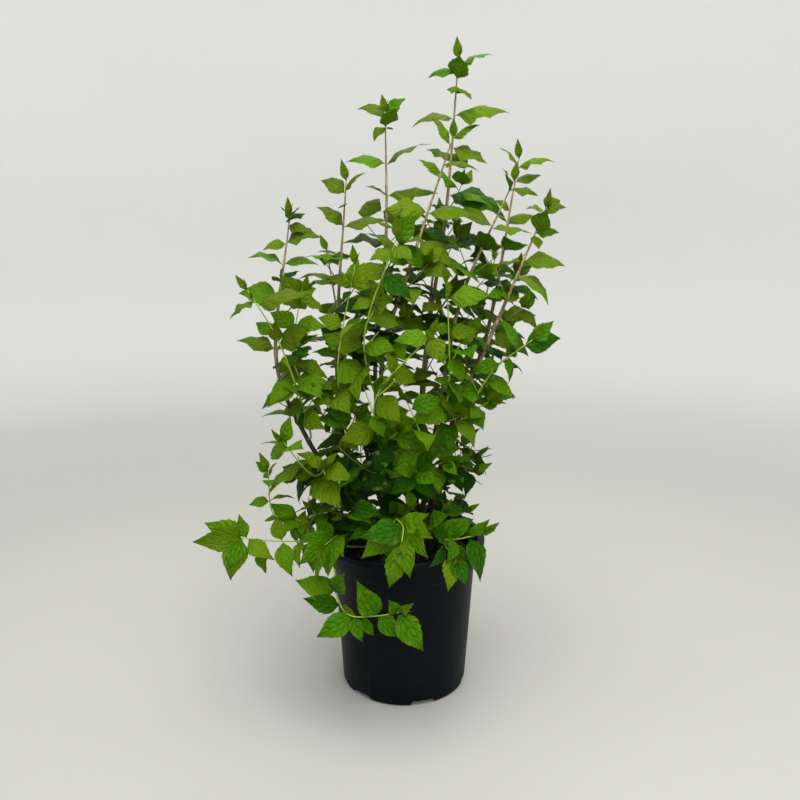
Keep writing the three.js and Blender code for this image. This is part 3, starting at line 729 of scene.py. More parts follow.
# %% Upper leaves of heads and shoots
# one by one: share of the stem, leaf tip, and 1 for a broad leaf
UPPER_TIPS = {
    "head_tall": (
        (0.982, 117, 26, 855), (0.975, 30, 26, 827), (0.962, 68, -9, 847, 1), (0.946, 60, 1, 803),
        (0.946, 86, 5, 797, 1), (0.891, 137, 11, 781), (0.888, 8, 16, 765), (0.847, 99, 11, 768),
        (0.835, 108, 13, 718, 1), (0.804, 30, 37, 741, 1), (0.8, 89, 47, 738, 1),
        (0.74, 132, 6, 650),
    ),
    "head_tall_left": (
        (0.982, 31, -47, 768, 1), (0.937, 89, -59, 699), (0.921, 16, -30, 719),
        (0.829, -29, -37, 657), (0.829, 88, -47, 649), (0.765, 60, -48, 581),
    ),
    "head_straight": (
        (0.985, -62, 22, 789), (0.985, 2, 20, 802), (0.968, -11, -14, 783, 1),
        (0.965, -40, 3, 745), (0.965, -15, 24, 763), (0.887, -77, 9, 720), (0.887, 35, 13, 744),
        (0.821, -52, -9, 688), (0.821, 45, 7, 680), (0.711, -84, -2, 614),
    ),
    "head_left_mid": (
        (0.97, -110, -9, 694), (0.97, -47, -31, 704), (0.941, -82, -32, 660, 1),
        (0.887, -117, -13, 660), (0.887, -20, -11, 643), (0.813, -113, -23, 604),
    ),
    "head_right": (
        (0.976, 173, -14, 675), (0.97, 122, -41, 706, 1), (0.881, 59, -33, 650),
        (0.873, 166, -14, 630, 1),
    ),
    "head_right_in": (
        (0.978, 126, 45, 743), (0.973, 201, 28, 722), (0.944, 189, 47, 707, 1),
        (0.872, 122, 39, 674),
    ),
    "head_right_out": (
        (0.985, 147, -73, 654), (0.985, 193, -38, 670), (0.984, 197, -70, 657),
        (0.931, 169, -86, 654, 1), (0.93, 192, -59, 626), (0.922, 165, -76, 607, 1),
        (0.853, 201, -56, 589), (0.853, 117, -44, 585), (0.819, 180, -71, 539),
        (0.765, 101, -68, 546), (0.752, 147, -43, 557, 1), (0.708, 166, -64, 525, 1),
        (0.66, 157, -63, 472),
    ),
    "head_left": (
        (0.985, -157, -49, 661), (0.985, -128, -21, 653), (0.982, -127, -60, 660, 1),
        (0.974, -117, -49, 627), (0.929, -180, -46, 607), (0.929, -103, -53, 622),
        (0.875, -196, -60, 597), (0.875, -109, -40, 587), (0.832, -167, -62, 574),
        (0.832, -135, -34, 581), (0.832, -152, -60, 586, 1), (0.788, -214, -41, 551),
        (0.783, -111, -57, 558), (0.696, -194, -32, 515), (0.66, -111, -46, 492),
        (0.657, -214, -57, 496), (0.611, -168, -59, 461), (0.589, -137, -35, 476),
        (0.476, -190, -49, 393), (0.476, -121, -43, 374),
    ),
    "shoot_left_green": (
        (0.934, -183, -108, 564), (0.921, -209, -113, 524), (0.896, -110, -108, 551),
        (0.666, -161, -92, 521), (0.654, -113, -107, 515, 1), (0.547, -108, -78, 468, 1),
        (0.426, -172, -90, 413, 1), (0.426, -94, -84, 446, 1),
    ),
    "shoot_left_thin": (
        (0.977, -108, -91, 560), (0.977, -145, -85, 546), (0.869, -166, -72, 533),
        (0.869, -97, -83, 514), (0.677, -117, -91, 479), (0.677, -157, -75, 463),
    ),
    "shoot_mid_green": (
        (0.91, -54, -80, 595), (0.901, -77, -105, 580, 1), (0.892, -18, -99, 586),
        (0.892, -41, -77, 558), (0.883, -74, -99, 543), (0.714, -109, -75, 522),
        (0.686, -35, -79, 511), (0.551, -43, -88, 437, 1), (0.441, -62, -83, 407, 1),
        (0.425, -116, -62, 433),
    ),
    "shoot_mid_green_2": (
        (0.985, 14, -115, 647, 1), (0.96, 8, -127, 592, 1), (0.941, -40, -122, 592, 1),
        (0.81, 5, -109, 546), (0.81, -49, -107, 573), (0.683, -66, -100, 534),
        (0.683, -34, -85, 554),
    ),
    "shoot_front_long": (
        (0.978, 47, -161, 478), (0.978, -14, -153, 500), (0.971, 35, -152, 518),
        (0.741, -25, -143, 486), (0.727, 14, -131, 452), (0.575, -4, -139, 403, 1),
        (0.445, -27, -112, 378),
    ),
    "shoot_centre_green": (
        (0.906, 43, -124, 571), (0.906, 103, -112, 553), (0.741, 89, -108, 511, 1),
        (0.741, 33, -101, 516), (0.616, 72, -109, 446, 1), (0.616, 39, -88, 470),
        (0.491, 66, -101, 420, 1),
    ),
    "shoot_right_low": (
        (0.984, 182, -98, 521, 1), (0.902, 194, -86, 495), (0.878, 113, -101, 526, 1),
        (0.783, 128, -100, 445), (0.783, 137, -74, 489), (0.705, 84, -79, 454),
        (0.566, 137, -93, 425),
    ),
}
print(sum(map(len, UPPER_TIPS.values())), "upper leaves")

# %% [markdown]
# ## The lines of all stems
# A side stem leaves its cane squarely, through a short collar, and then bends into its own way.
# The sprays have no listed ways: each one reaches as far as the crown is wide at its height.

# %% Lines of the stems
SPRAY_HEIGHTS, SPRAY_STAGGER, SPRAY_RISE, SHORTEST_SPRAY = (30, 108), 9, 0.3, 48
CROWN_RADIUS, CROWN_WIDENING, CROWN_CENTRE = 124, 0.18, np.array([-30, -6, 0])

# how a stem carries its leaves: see growth below
HEAD = {"radius": NECK_RADIUS, "pitch": 38, "leaf": 62, "raise": -0.3, "bare": 0.05,
        "twig_every": 2, "twig_until": 0.55, "twig": 60, "space": 100}
SHOOT = {"radius": 1.3, "pitch": 31, "leaf": 55, "raise": -0.45, "bare": 0.15,
         "twig_every": 3, "twig_until": 0.6, "twig": 42, "space": 85}
SPRAY = {"radius": 1.5, "pitch": 28, "leaf": 60, "raise": -0.6, "bare": 0.2,
         "twig_every": 3, "twig_until": 0.7, "twig": 42, "space": 85}
TWIG = {"radius": 0.95, "pitch": 25, "leaf": 0.84, "raise": -0.3, "bare": 0.3,
        "twig_every": 1000, "twig_until": -1, "twig": 0}


def mix(first, second, share):
    """The first value where share is 0 and the second where it is 1."""
    return first + (second - first) * share


def cane_radius(share, neck, length):
    """Even taper to the neck, then a taper that quickens as s^1.6 to the tip; widened at the
    foot by a flare that fades as exp(-height / 14)."""
    share = np.asarray(share, float)
    beyond = np.clip((share - neck) / (1 - neck), 0, 1) ** STEM_TAPER
    plain = np.where(share < neck, mix(FOOT_RADIUS, NECK_RADIUS, share / neck),
                     mix(NECK_RADIUS, TIP_RADIUS, beyond))
    return plain * (1 + (FLARE - 1) * np.exp(-share * length / FLARE_HEIGHT))


cane_lines = {name: through([(*foot, SOIL_LEVEL + GAP), *way])
              for name, (foot, way, *_) in CANES.items()}
print("canes, mm:", {name: round(line.length) for name, line in cane_lines.items()})


def side_line(cane, at, way):
    """A side stem's curve: out of its cane squarely for a short collar, then through its way."""
    centre, ahead = cane_lines[cane].point(at), cane_lines[cane].heading(at)
    out = np.array(way[0], float) - centre
    out = squared(out, ahead)
    start = centre + out * (cane_radius(at, CANES[cane][2], cane_lines[cane].length) + GAP)
    return through([start, start + out * COLLAR, *way])


def spray_line(cane, index, level):
    """A short spray that fills the crown: it reaches out to the crown's radius at its height."""
    _, way, _, _, *directions = CANES[cane]
    height = SPRAY_HEIGHTS[level] + SPRAY_STAGGER * (index % 3)
    at = height / (way[-1][2] - SOIL_LEVEL)
    point = cane_lines[cane].point(at)
    angle = math.radians(directions[level])
    out = np.array([math.cos(angle), math.sin(angle), 0])
    filled = (point - CROWN_CENTRE) @ out + 0.75 * SPRAY["leaf"]
    length = max(SHORTEST_SPRAY, CROWN_RADIUS + CROWN_WIDENING * height - filled)
    middle = point + out * length * 0.55 + UP * length * SPRAY_RISE * 0.8
    return side_line(cane, at, [middle, point + out * length + UP * length * SPRAY_RISE])


def stem(mass, line, start, rule, seed, turn, tips=()):
    """What is known of a stem before it grows; start is the share of its line that stays bare."""
    return {"mass": mass, "line": line, "start": start, "rule": rule, "seed": seed, "turn": turn,
            "tips": tips}


HEAD_SEED, SHOOT_SEED, SPRAY_SEED, SPRAY_TURN = 11, 41, 71, 45
heads, shoots, sprays = [], [], []
for index, (name, (_, _, neck, turn, *_)) in enumerate(CANES.items()):
    start = neck + GAP / cane_lines[name].length
    heads.append(stem(f"head_{name}", cane_lines[name], start, HEAD, HEAD_SEED + index, turn))
    for level, word in enumerate(("low", "middle")):
        line, seed = spray_line(name, index, level), SPRAY_SEED + 2 * index + level
        sprays.append(stem(f"spray_{name}_{word}", line, 0, SPRAY, seed, SPRAY_TURN))
for index, (name, (cane, at, way, turn)) in enumerate(SHOOTS.items()):
    line, seed = side_line(cane, at, way), SHOOT_SEED + index
    shoots.append(stem(f"shoot_{name}", line, 0, SHOOT, seed, turn, TIPS.get(name, ())))
print(len(heads), "heads,", len(shoots), "shoots,", len(sprays), "sprays")

# %% [markdown]
# ## The rule of growth
# Every stem grows in the same way. Leaf pairs stand at even joints, each pair turned a quarter
# round from the last. Some joints carry a side twig, which bears pairs by the same rule. Chance
# varies size, angle and roll, and its numbers are repeatable, so the plant is the same each run.
# The frame's solids were grown by this rule too, which is why leaves and solids lie together.

# %% Chance, and the directions of leaves
WORD = 0xFFFFFFFF
FLATTEN, LAST_PLACE, LAST_SIZE, PAIR_STEP, END_SETBACK = 0.6, 0.985, 0.58, 0.8, 1.2
# leaves change from the low to the high kind between two heights, and lean outwards to the light
LIGHT = {"low": 250, "high": 750, "low_lean": 1.1, "high_lean": 0.35, "front_lean": 0.28,
         "spread": 90}
FRONT = np.array([0, -1.2, 0])
ACROSS_GUIDE = (0.27, -0.95, 0.15)  # no stem runs along it, so it gives each one its sideways
# how far listed leaves turn their faces to the front
HEAD_LEAN, SHOOT_LEAN, RIM_LEAN = 0.24, 0.4, 1
UNDER_LISTED = 0.03  # leaves of the rule end this share of the stem below the lowest listed leaf


def seeded(seed):
    """Repeatable numbers from 0 to 1: a counter whose bits are stirred by products and shifts."""
    state = seed & WORD

    def draw():
        nonlocal state
        state = (state + 0x6D2B79F5) & WORD
        mixed = ((state ^ state >> 15) * (1 | state)) & WORD
        mixed = (mixed + ((mixed ^ mixed >> 7) * (61 | mixed) & WORD) & WORD) ^ mixed
        return (mixed ^ mixed >> 14) / 2**32

    return draw


def sideways(ahead, angle, forward, lift):
    """Direction of a leaf or twig: out from the stem at an angle round it, laid flatter, then
    drawn forward along the stem and raised."""
    across = unit(np.cross(ACROSS_GUIDE, ahead))
    out = across * math.cos(angle) + np.cross(ahead, across) * math.sin(angle)
    out = unit(out * (1, 1, FLATTEN))
    return unit(out + ahead * forward + UP * lift)


def rise_at(height):
    """Where a height in mm stands between the low and the high kind of leaf, from 0 to 1."""
    return np.clip((height - LIGHT["low"]) / (LIGHT["high"] - LIGHT["low"]), 0, 1)


def facing(point, ahead, roll):
    """The way a blade faces: up and outwards, more outwards low down and a little forwards high
    up, square to its direction, and rolled about it."""
    outward = point * (1, 1, 0) / LIGHT["spread"]
    outward /= max(1, np.linalg.norm(outward))
    share = rise_at(point[2])
    face = UP + outward * mix(LIGHT["low_lean"], LIGHT["high_lean"], share)
    face = squared(face + FRONT * LIGHT["front_lean"] * share, ahead)
    return face * math.cos(roll) + np.cross(ahead, face) * math.sin(roll)


sample = seeded(1)
print("the first numbers of seed 1:", [round(sample(), 3) for _ in range(3)])

# %% Growth of one stem
def twig_line(point, direction, reach):
    """A side twig: out from its joint, then upwards."""
    return bow(point, point + direction * reach * 0.55,
               point + direction * reach * 0.95 + UP * reach * 0.16)


def growth(line, start, rule, seed, turn):
    """Leaves, side twigs and joints of one stem."""
    random = seeded(seed)
    joints = max(1, math.floor(line.length * (1 - start) / rule["pitch"] + 0.5))
    leaves, twigs, places = [], [], []
    for joint in range(joints + 1):
        last = joint == joints
        place = LAST_PLACE if last else min((joint + 0.55) / joints, LAST_PLACE)
        at = mix(start, 1, place)
        point, ahead = line.point(at), line.heading(at)
        angle = math.radians(turn) + joint * math.pi / 2 + (random() - 0.5) * 0.5
        places.append((place, at, angle))
        for side in (0, 1):
            size = (0.82 + 0.36 * random()) * (LAST_SIZE if last else 1 - 0.22 * place**3)
            lift = (0.1 if last else rule["raise"] + 0.35 * place) + (random() - 0.5) * 0.4
            roll = (random() - 0.5) * 0.7
            spin = angle + side * math.pi + (random() - 0.5) * 0.3
            direction = sideways(ahead, spin, 1.1 if last else 0.3, lift)
            shift = (PAIR_STEP if side else -PAIR_STEP) - (END_SETBACK if last else 0)
            if place < rule["bare"]:
                continue
            root = point + ahead * shift
            leaves.append({"root": root, "ahead": direction, "face": facing(root, direction, roll),
                           "length": rule["leaf"] * size, "place": place, "last": last})
        vigour = 0.8 + 0.4 * random()
        if joint % rule["twig_every"] != 1 or place > rule["twig_until"]:
            continue
        side = 0 if joint % (2 * rule["twig_every"]) == 1 else math.pi
        direction = sideways(ahead, angle + side + 0.35, 0.8, 0.1)
        twig = twig_line(point, direction, rule["twig"] * vigour * (1 - 0.35 * place))
        twig_rule = {**TWIG, "leaf": rule["leaf"] * TWIG["leaf"]}
        grown = growth(twig, 0, twig_rule, seed * 31 + joint, turn + 60)
        twigs.append({"line": twig, "radius": TWIG["radius"], "leaves": grown["leaves"],
                      "joint": joint})
    return {"leaves": leaves, "twigs": twigs, "places": places}


trial = growth(through([(0, 0, 0), (0, 0, 200)]), 0, SHOOT, 1, 0)
print("a straight shoot of 200 mm bears", len(trial["leaves"]), "leaves")

# %% Listed leaves, and the whole plant
def leaves_to(line, tips, lean):
    """Leaves of a stem whose leaf tips are given, and the joints that they share. All of them
    lean to the open side in front of the pot, where their light comes from."""
    leaves, places = [], []
    for index, (at, x, y, z, *broad) in enumerate(tips):
        root = line.point(at) + line.heading(at) * (PAIR_STEP if index % 2 else -PAIR_STEP)
        reach = np.array([x, y, z]) - root
        ahead = unit(reach)
        face = facing(root, ahead, 0) + FRONT * lean
        leaves.append({"root": root, "ahead": ahead, "face": squared(face, ahead),
                       "length": np.linalg.norm(reach), "last": False,
                       "listed": True, "broad": broad == [1]})
        places.append((at, at, 0.0))
    return {"leaves": leaves, "places": places[::2]}


def topped(each, tips):
    """A stem's leaves, with listed ones in place of those that the rule grows above the lowest."""
    lowest = (min(at for at, *_ in tips) - each["start"]) / (1 - each["start"]) - UNDER_LISTED
    below = [leaf for leaf in each["leaves"] if leaf["place"] < lowest]
    lean = HEAD_LEAN if each["rule"] is HEAD else SHOOT_LEAN
    return leaves_to(each["line"], tips, lean)["leaves"] + below


def rim_twigs(name, stem_line):
    """Side twigs with listed leaves, each as its line, its radius and its leaves."""
    made = []
    for joint, (at, middle, end, tips) in enumerate(RIM_TWIGS.get(name, ())):
        line = bow(stem_line.point(at), np.array(middle, float), np.array(end, float))
        made.append({"line": line, "radius": TWIG["radius"], "joint": joint,
                     "leaves": leaves_to(line, tips, RIM_LEAN)["leaves"]})
    return made


for each in (*heads, *shoots, *sprays):
    if each["tips"]:
        each.update(leaves_to(each["line"], each["tips"], RIM_LEAN))
        each["twigs"] = rim_twigs(each["mass"].removeprefix("shoot_"), each["line"])
    else:
        each.update(growth(each["line"], each["start"], each["rule"], each["seed"], each["turn"]))
    each["upper"] = UPPER_TIPS.get(each["mass"], ())
    if each["upper"]:
        each["leaves"] = topped(each, each["upper"])
print(sum(len(s["leaves"]) + sum(len(t["leaves"]) for t in s["twigs"])
          for s in (*heads, *shoots, *sprays)), "leaves by the rule and by the lists")

# %% [markdown]
# ## Bark
# A cane is a tube whose radius carries the bark's relief: fine ridges run up it, and it swells
# at every joint where a leaf pair stood. The Skin modifier could make such limbs, but a tube
# worked out ring by ring keeps the ridges and the taper exact. The rings are carried along the
# line without turning about it, so that the ridges don't wind.

# %% Tubes along lines
def tubes(rings, headings, radii):
    """Closed tubes from ring centres (k, n, 3), headings (k, n, 3) and radii (k, n, sides).

    Corner (ring, side) is centre + radius (across cos a + over sin a), a = 2 pi side / sides.
    """
    count, length, sides = radii.shape
    across = np.empty_like(rings)
    guide = np.cross(headings[:, 0], ACROSS_GUIDE)
    for ring in range(length):
        ahead = headings[:, ring]
        guide = unit(guide - (guide * ahead).sum(-1, keepdims=True) * ahead)
        across[:, ring] = guide
    over = np.cross(headings, across)
    angle = np.linspace(0, 2 * np.pi, sides, endpoint=False)
    round_it = (across[:, :, None] * np.cos(angle)[:, None]
                + over[:, :, None] * np.sin(angle)[:, None])
    corners = (rings[:, :, None] + round_it * radii[..., None]).reshape(count, -1, 3)
    points = np.concatenate([corners, rings[:, [0, -1]]], axis=1)
    quads, fans = ring_faces(length, sides)
    shift = points.shape[1] * np.arange(count)[:, None, None]
    return points.reshape(-1, 3), (quads + shift).reshape(-1, 4), (fans + shift).reshape(-1, 3)


def ridges(run, angle, depth):
    """Bark ridges: sines round the cane of 3, 5 and 8 waves, whose phases drift along it."""
    total = sum(
        share * np.sin(waves * angle + 2.1 * np.sin(run / (17 + 3 * waves) + waves))
        for waves, share in ((3, 0.4), (5, 0.35), (8, 0.25))
    )
    return 1 + depth * total


def swelling(run, joints, height, reach):
    """A bulge at each joint: height exp(-(distance / reach)^2)."""
    distance = (run[:, None] - np.asarray(joints)[None, :]) / reach
    return height * np.exp(-distance**2).sum(-1)


relief = ridges(0.0, np.linspace(0, 2 * np.pi, 90), 0.1)
print("ridges of depth 0.1 change the radius by", round(float(np.ptp(relief)), 2), "of itself")

# %% [markdown]
# Old bark low down is dark brown with a breath of purple, and it lightens on the way up to the
# straw colour of this year's growth. The colour follows the height, so it needs no map. Long thin
# flecks run with the stem: noise drawn out along it, as the bark splits.

# %% Finishes of bark and green stems
def shaded(colour, share):
    """A colour darkened to a share of itself."""
    return (*(share * part for part in colour[:3]), 1.0)


def bark_finish(name, low, high, low_height, high_height, fleck):
    """Bark between two tones by height in metres, flecked along the stem with fleck times them."""
    bark = Finish(name)
    height = bark.axis(bark.place(), "Z")
    flecks = bark.noise(bark.place((1, 1, 0.08)), 700.0, 3.0)
    patches = bark.noise(bark.place((1, 1, 0.4)), 60.0)
    by_height = bark.between(height + patches * 0.12, low_height + 0.06, high_height + 0.06)
    plain = bark.tint(by_height, low, high)
    dark = bark.tint(by_height, shaded(low, fleck), shaded(high, fleck))
    colour = bark.tint(bark.between(flecks, 0.42, 0.62), dark, plain)
    return bark.surface(colour, 0.62 + flecks * 0.2, bark.bump(flecks, 0.5, 0.0006),
                        Specular_IOR_Level=0.3)


cane_bark = bark_finish("cane_bark", tone(64, 44, 40), tone(172, 154, 108), 0.32, 0.55, 0.42)
twig_bark = bark_finish("twig_bark", tone(96, 88, 46), tone(138, 138, 72), 0.25, 0.60, 0.5)
green_stem = bark_finish("green_stem", tone(150, 180, 62), tone(148, 180, 54), 0.2, 0.6, 0.8)
print("three finishes: cane bark, twig bark and green stem")

# %% Bark of each cane
CANE_SIDES, CANE_RING_STEP, BURIED = 18, 3.5, 6
FIRST_JOINT, JOINT_STEP, JOINT_SWELL, JOINT_REACH = 30, 41, 0.22, 2.6
FOOT_RIDGES, NECK_RIDGES, BLUNT_END = 0.13, 0.03, 0.3


def cane_points(name, line, joints):
    """The tube of one cane from below the soil's surface to its tip."""
    count = round(line.length / CANE_RING_STEP)
    shares = np.linspace(0, 1, count)
    run = shares * line.length
    neck = CANES[name][2]
    angle = np.linspace(0, 2 * np.pi, CANE_SIDES, endpoint=False)
    bulge = swelling(run, joints, JOINT_SWELL, JOINT_REACH)
    radius = cane_radius(shares, neck, line.length) * (1 + bulge)
    depth = mix(FOOT_RIDGES, NECK_RIDGES, np.clip(shares / neck, 0, 1))
    radii = radius[:, None] * ridges(run[:, None], angle, depth[:, None])
    radii[-1] *= BLUNT_END
    rings, headings = line.points(shares), line.headings(shares)
    rings[0] -= UP * BURIED
    return tubes(rings[None], headings[None], radii[None])


for head in heads:
    name = head["mass"].removeprefix("head_")
    line = head["line"]
    low_joints = np.arange(FIRST_JOINT, head["start"] * line.length, JOINT_STEP)
    high_joints = [at * line.length for _, at, _ in head["places"]]
    bark_points, bark_quads, bark_fans = cane_points(name, line, [*low_joints, *high_joints])
    bark = new_piece(f"bark_{name}", bark_points, bark_quads, bark_fans, [cane_bark])
    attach(bark, "root")
    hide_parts(f"cane_{name}")

# %% [markdown]
# ## Finer twigs
# The frame's masses stop at side twigs. On the real plant the axils low on each stem also sprout
# short leafy twiglets, which fill the inside of the crown. They are grown by the same rule from
# the joints that carry no side twig, with smaller leaves, and each stays in its mass's own space.

# %% Twiglets in the axils
TWIGLET = {**TWIG, "radius": 0.75, "pitch": 18, "leaf": 0.8, "raise": -0.2}
# by a stem's rule: the place up to which it sprouts, the chance of it, and a twiglet's length
FINE = {id(HEAD): (0.58, 0.66, 46), id(SHOOT): (0.6, 0.3, 32), id(SPRAY): (0.95, 0.75, 42)}
INNER_RADIUS, INNER_LEAN, LOWEST_TWIGLET = 100, np.array([0.085, 0.02, 0]), 0.04


def in_space(point, each):
    """Whether a point lies inside the crown and within its mass's reach of its stem."""
    on_stem = each["line"].points(np.linspace(each["start"], 1, 13))
    near = np.linalg.norm(point - on_stem, axis=-1).min()
    aside = (point - CROWN_CENTRE - INNER_LEAN * (point[2] - SOIL_LEVEL))[:2]
    return near < each["rule"]["space"] and np.linalg.norm(aside) < INNER_RADIUS


def sprout(each):
    """Twiglets of one stem: in each axil low on it, with some chance, on either side."""
    until, chance, reach = FINE[id(each["rule"])]
    draw = np.random.default_rng(900 + each["seed"])
    bearing = {twig["joint"] for twig in each["twigs"]}
    twiglets = []
    for joint, (place, at, angle) in enumerate(each["places"]):
        for side in (0, math.pi):
            luck, size, spin = draw.random(3)
            grows = LOWEST_TWIGLET <= place <= until and luck <= chance
            if joint in bearing or not grows:
                continue
            ahead = each["line"].heading(at)
            direction = sideways(ahead, angle + side + (spin - 0.5), 0.75, 0.15)
            line = twig_line(each["line"].point(at), direction, reach * mix(0.7, 1.15, size))
            rule = {**TWIGLET, "leaf": each["rule"]["leaf"] * TWIGLET["leaf"]}
            grown = growth(line, 0, rule, 7000 + each["seed"] * 37 + joint * 2 + bool(side), 45)
            twiglets.append({"line": line, "radius": rule["radius"], "leaves": grown["leaves"]})
    return twiglets


for each in (*heads, *shoots, *sprays):
    each["twiglets"] = sprout(each)
print(sum(len(s["twiglets"]) for s in (*heads, *shoots, *sprays)), "twiglets")

# %% Tubes of side stems, twigs and twiglets
STEM_RINGS, STEM_SIDES, TWIG_RINGS, TWIG_SIDES = 48, 10, 9, 7
STEM_SWELL, STEM_REACH, THIN_TIP, POINTED_END = 0.25, 2.2, 0.8, 0.4


def side_tubes(lines, radii, rings, sides, joints=None):
    """Tubes along many lines, from full radius to the tip's; each ends in a blunt point."""
    shares = np.linspace(0, 1, rings)
    centres = np.stack([line.points(shares) for line in lines])
    headings = np.stack([line.headings(shares) for line in lines])
    taper = STEM_TAPER if joints is not None else 1.0
    widths = mix(np.array(radii)[:, None], TIP_RADIUS * THIN_TIP, shares[None] ** taper)
    if joints is not None:
        bulges = [swelling(shares * line.length, at, STEM_SWELL, STEM_REACH)
                  for line, at in zip(lines, joints)]
        widths = widths * (1 + np.stack(bulges))
    widths[:, -1] *= POINTED_END
    return tubes(centres, headings, np.repeat(widths[..., None], sides, axis=2))


def joined(parts):
    """One set of points, quads and triangles from several, with the numbers moved on."""
    points, quads, triangles, shift = [], [], [], 0
    for part_points, part_quads, part_triangles in parts:
        points.append(part_points)
        quads.append(part_quads + shift)
        triangles.append(part_triangles + shift)
        shift += len(part_points)
    return np.concatenate(points), np.concatenate(quads), np.concatenate(triangles)


def stems_of(name, stems, finish, with_stems):
    """One piece of all stems, twigs and twiglets of a kind of mass."""
    twigs = [twig for each in stems for twig in (*each["twigs"], *each["twiglets"])]
    lines, radii = [twig["line"] for twig in twigs], [twig["radius"] for twig in twigs]
    parts = [side_tubes(lines, radii, TWIG_RINGS, TWIG_SIDES)]
    if with_stems:
        lines, radii = [s["line"] for s in stems], [s["rule"]["radius"] for s in stems]
        joints = [[at * s["line"].length for _, at, _ in s["places"]] for s in stems]
        parts.append(side_tubes(lines, radii, STEM_RINGS, STEM_SIDES, joints))
    piece = new_piece(name, *joined(parts), [finish])
    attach(piece, "root")


stems_of("twigs_of_heads", heads, twig_bark, False)
stems_of("stems_of_shoots", shoots, green_stem, True)
stems_of("stems_of_sprays", sprays, twig_bark, True)

# %% [markdown]
# ## One leaf
# A mock orange's leaf is an egg shape drawn out into a point, with a few shallow teeth, on a short
# stalk. It folds a little along its midrib, arches, and its margins curl down. A flat picture of
# a leaf on a plane would be cheaper, but it has no thickness and no light plays over it. Here
# every leaf is a thin closed solid of under eighty faces. All leaves are worked out at once, as
# arrays in which each leaf has its own length, arch, fold, curl, twist and wave.

# %% Shape of many leaves
STALK, WIDENING, NARROWING, STALK_HALF = 0.09, 0.75, 1.6, 0.55
STALK_THICK, ROOT_THICK, TIP_THICK = 0.95, 0.5, 0.22
VEIN_WAVES, VEIN_HEIGHT, MARGIN_WAVES, TOOTH_REACH = 4.6, 0.011, 2.3, 0.01
# rings along the leaf, how far each is toothed, and the corners of a ring: five above, one below
ROWS = np.array([0.05, 0.11, 0.18, 0.28, 0.40, 0.42, 0.53, 0.55, 0.67, 0.69, 0.80, 0.91])
TOOTH = np.array([0, 0, 0, 0, 1, -0.5, 1, -0.7, 1, -0.9, 0.4, 0])
ACROSS = np.array([-1, -0.5, 0, 0.5, 1, 0])
CORNERS = len(ACROSS)
LEAF_POINTS = len(ROWS) * CORNERS + 2


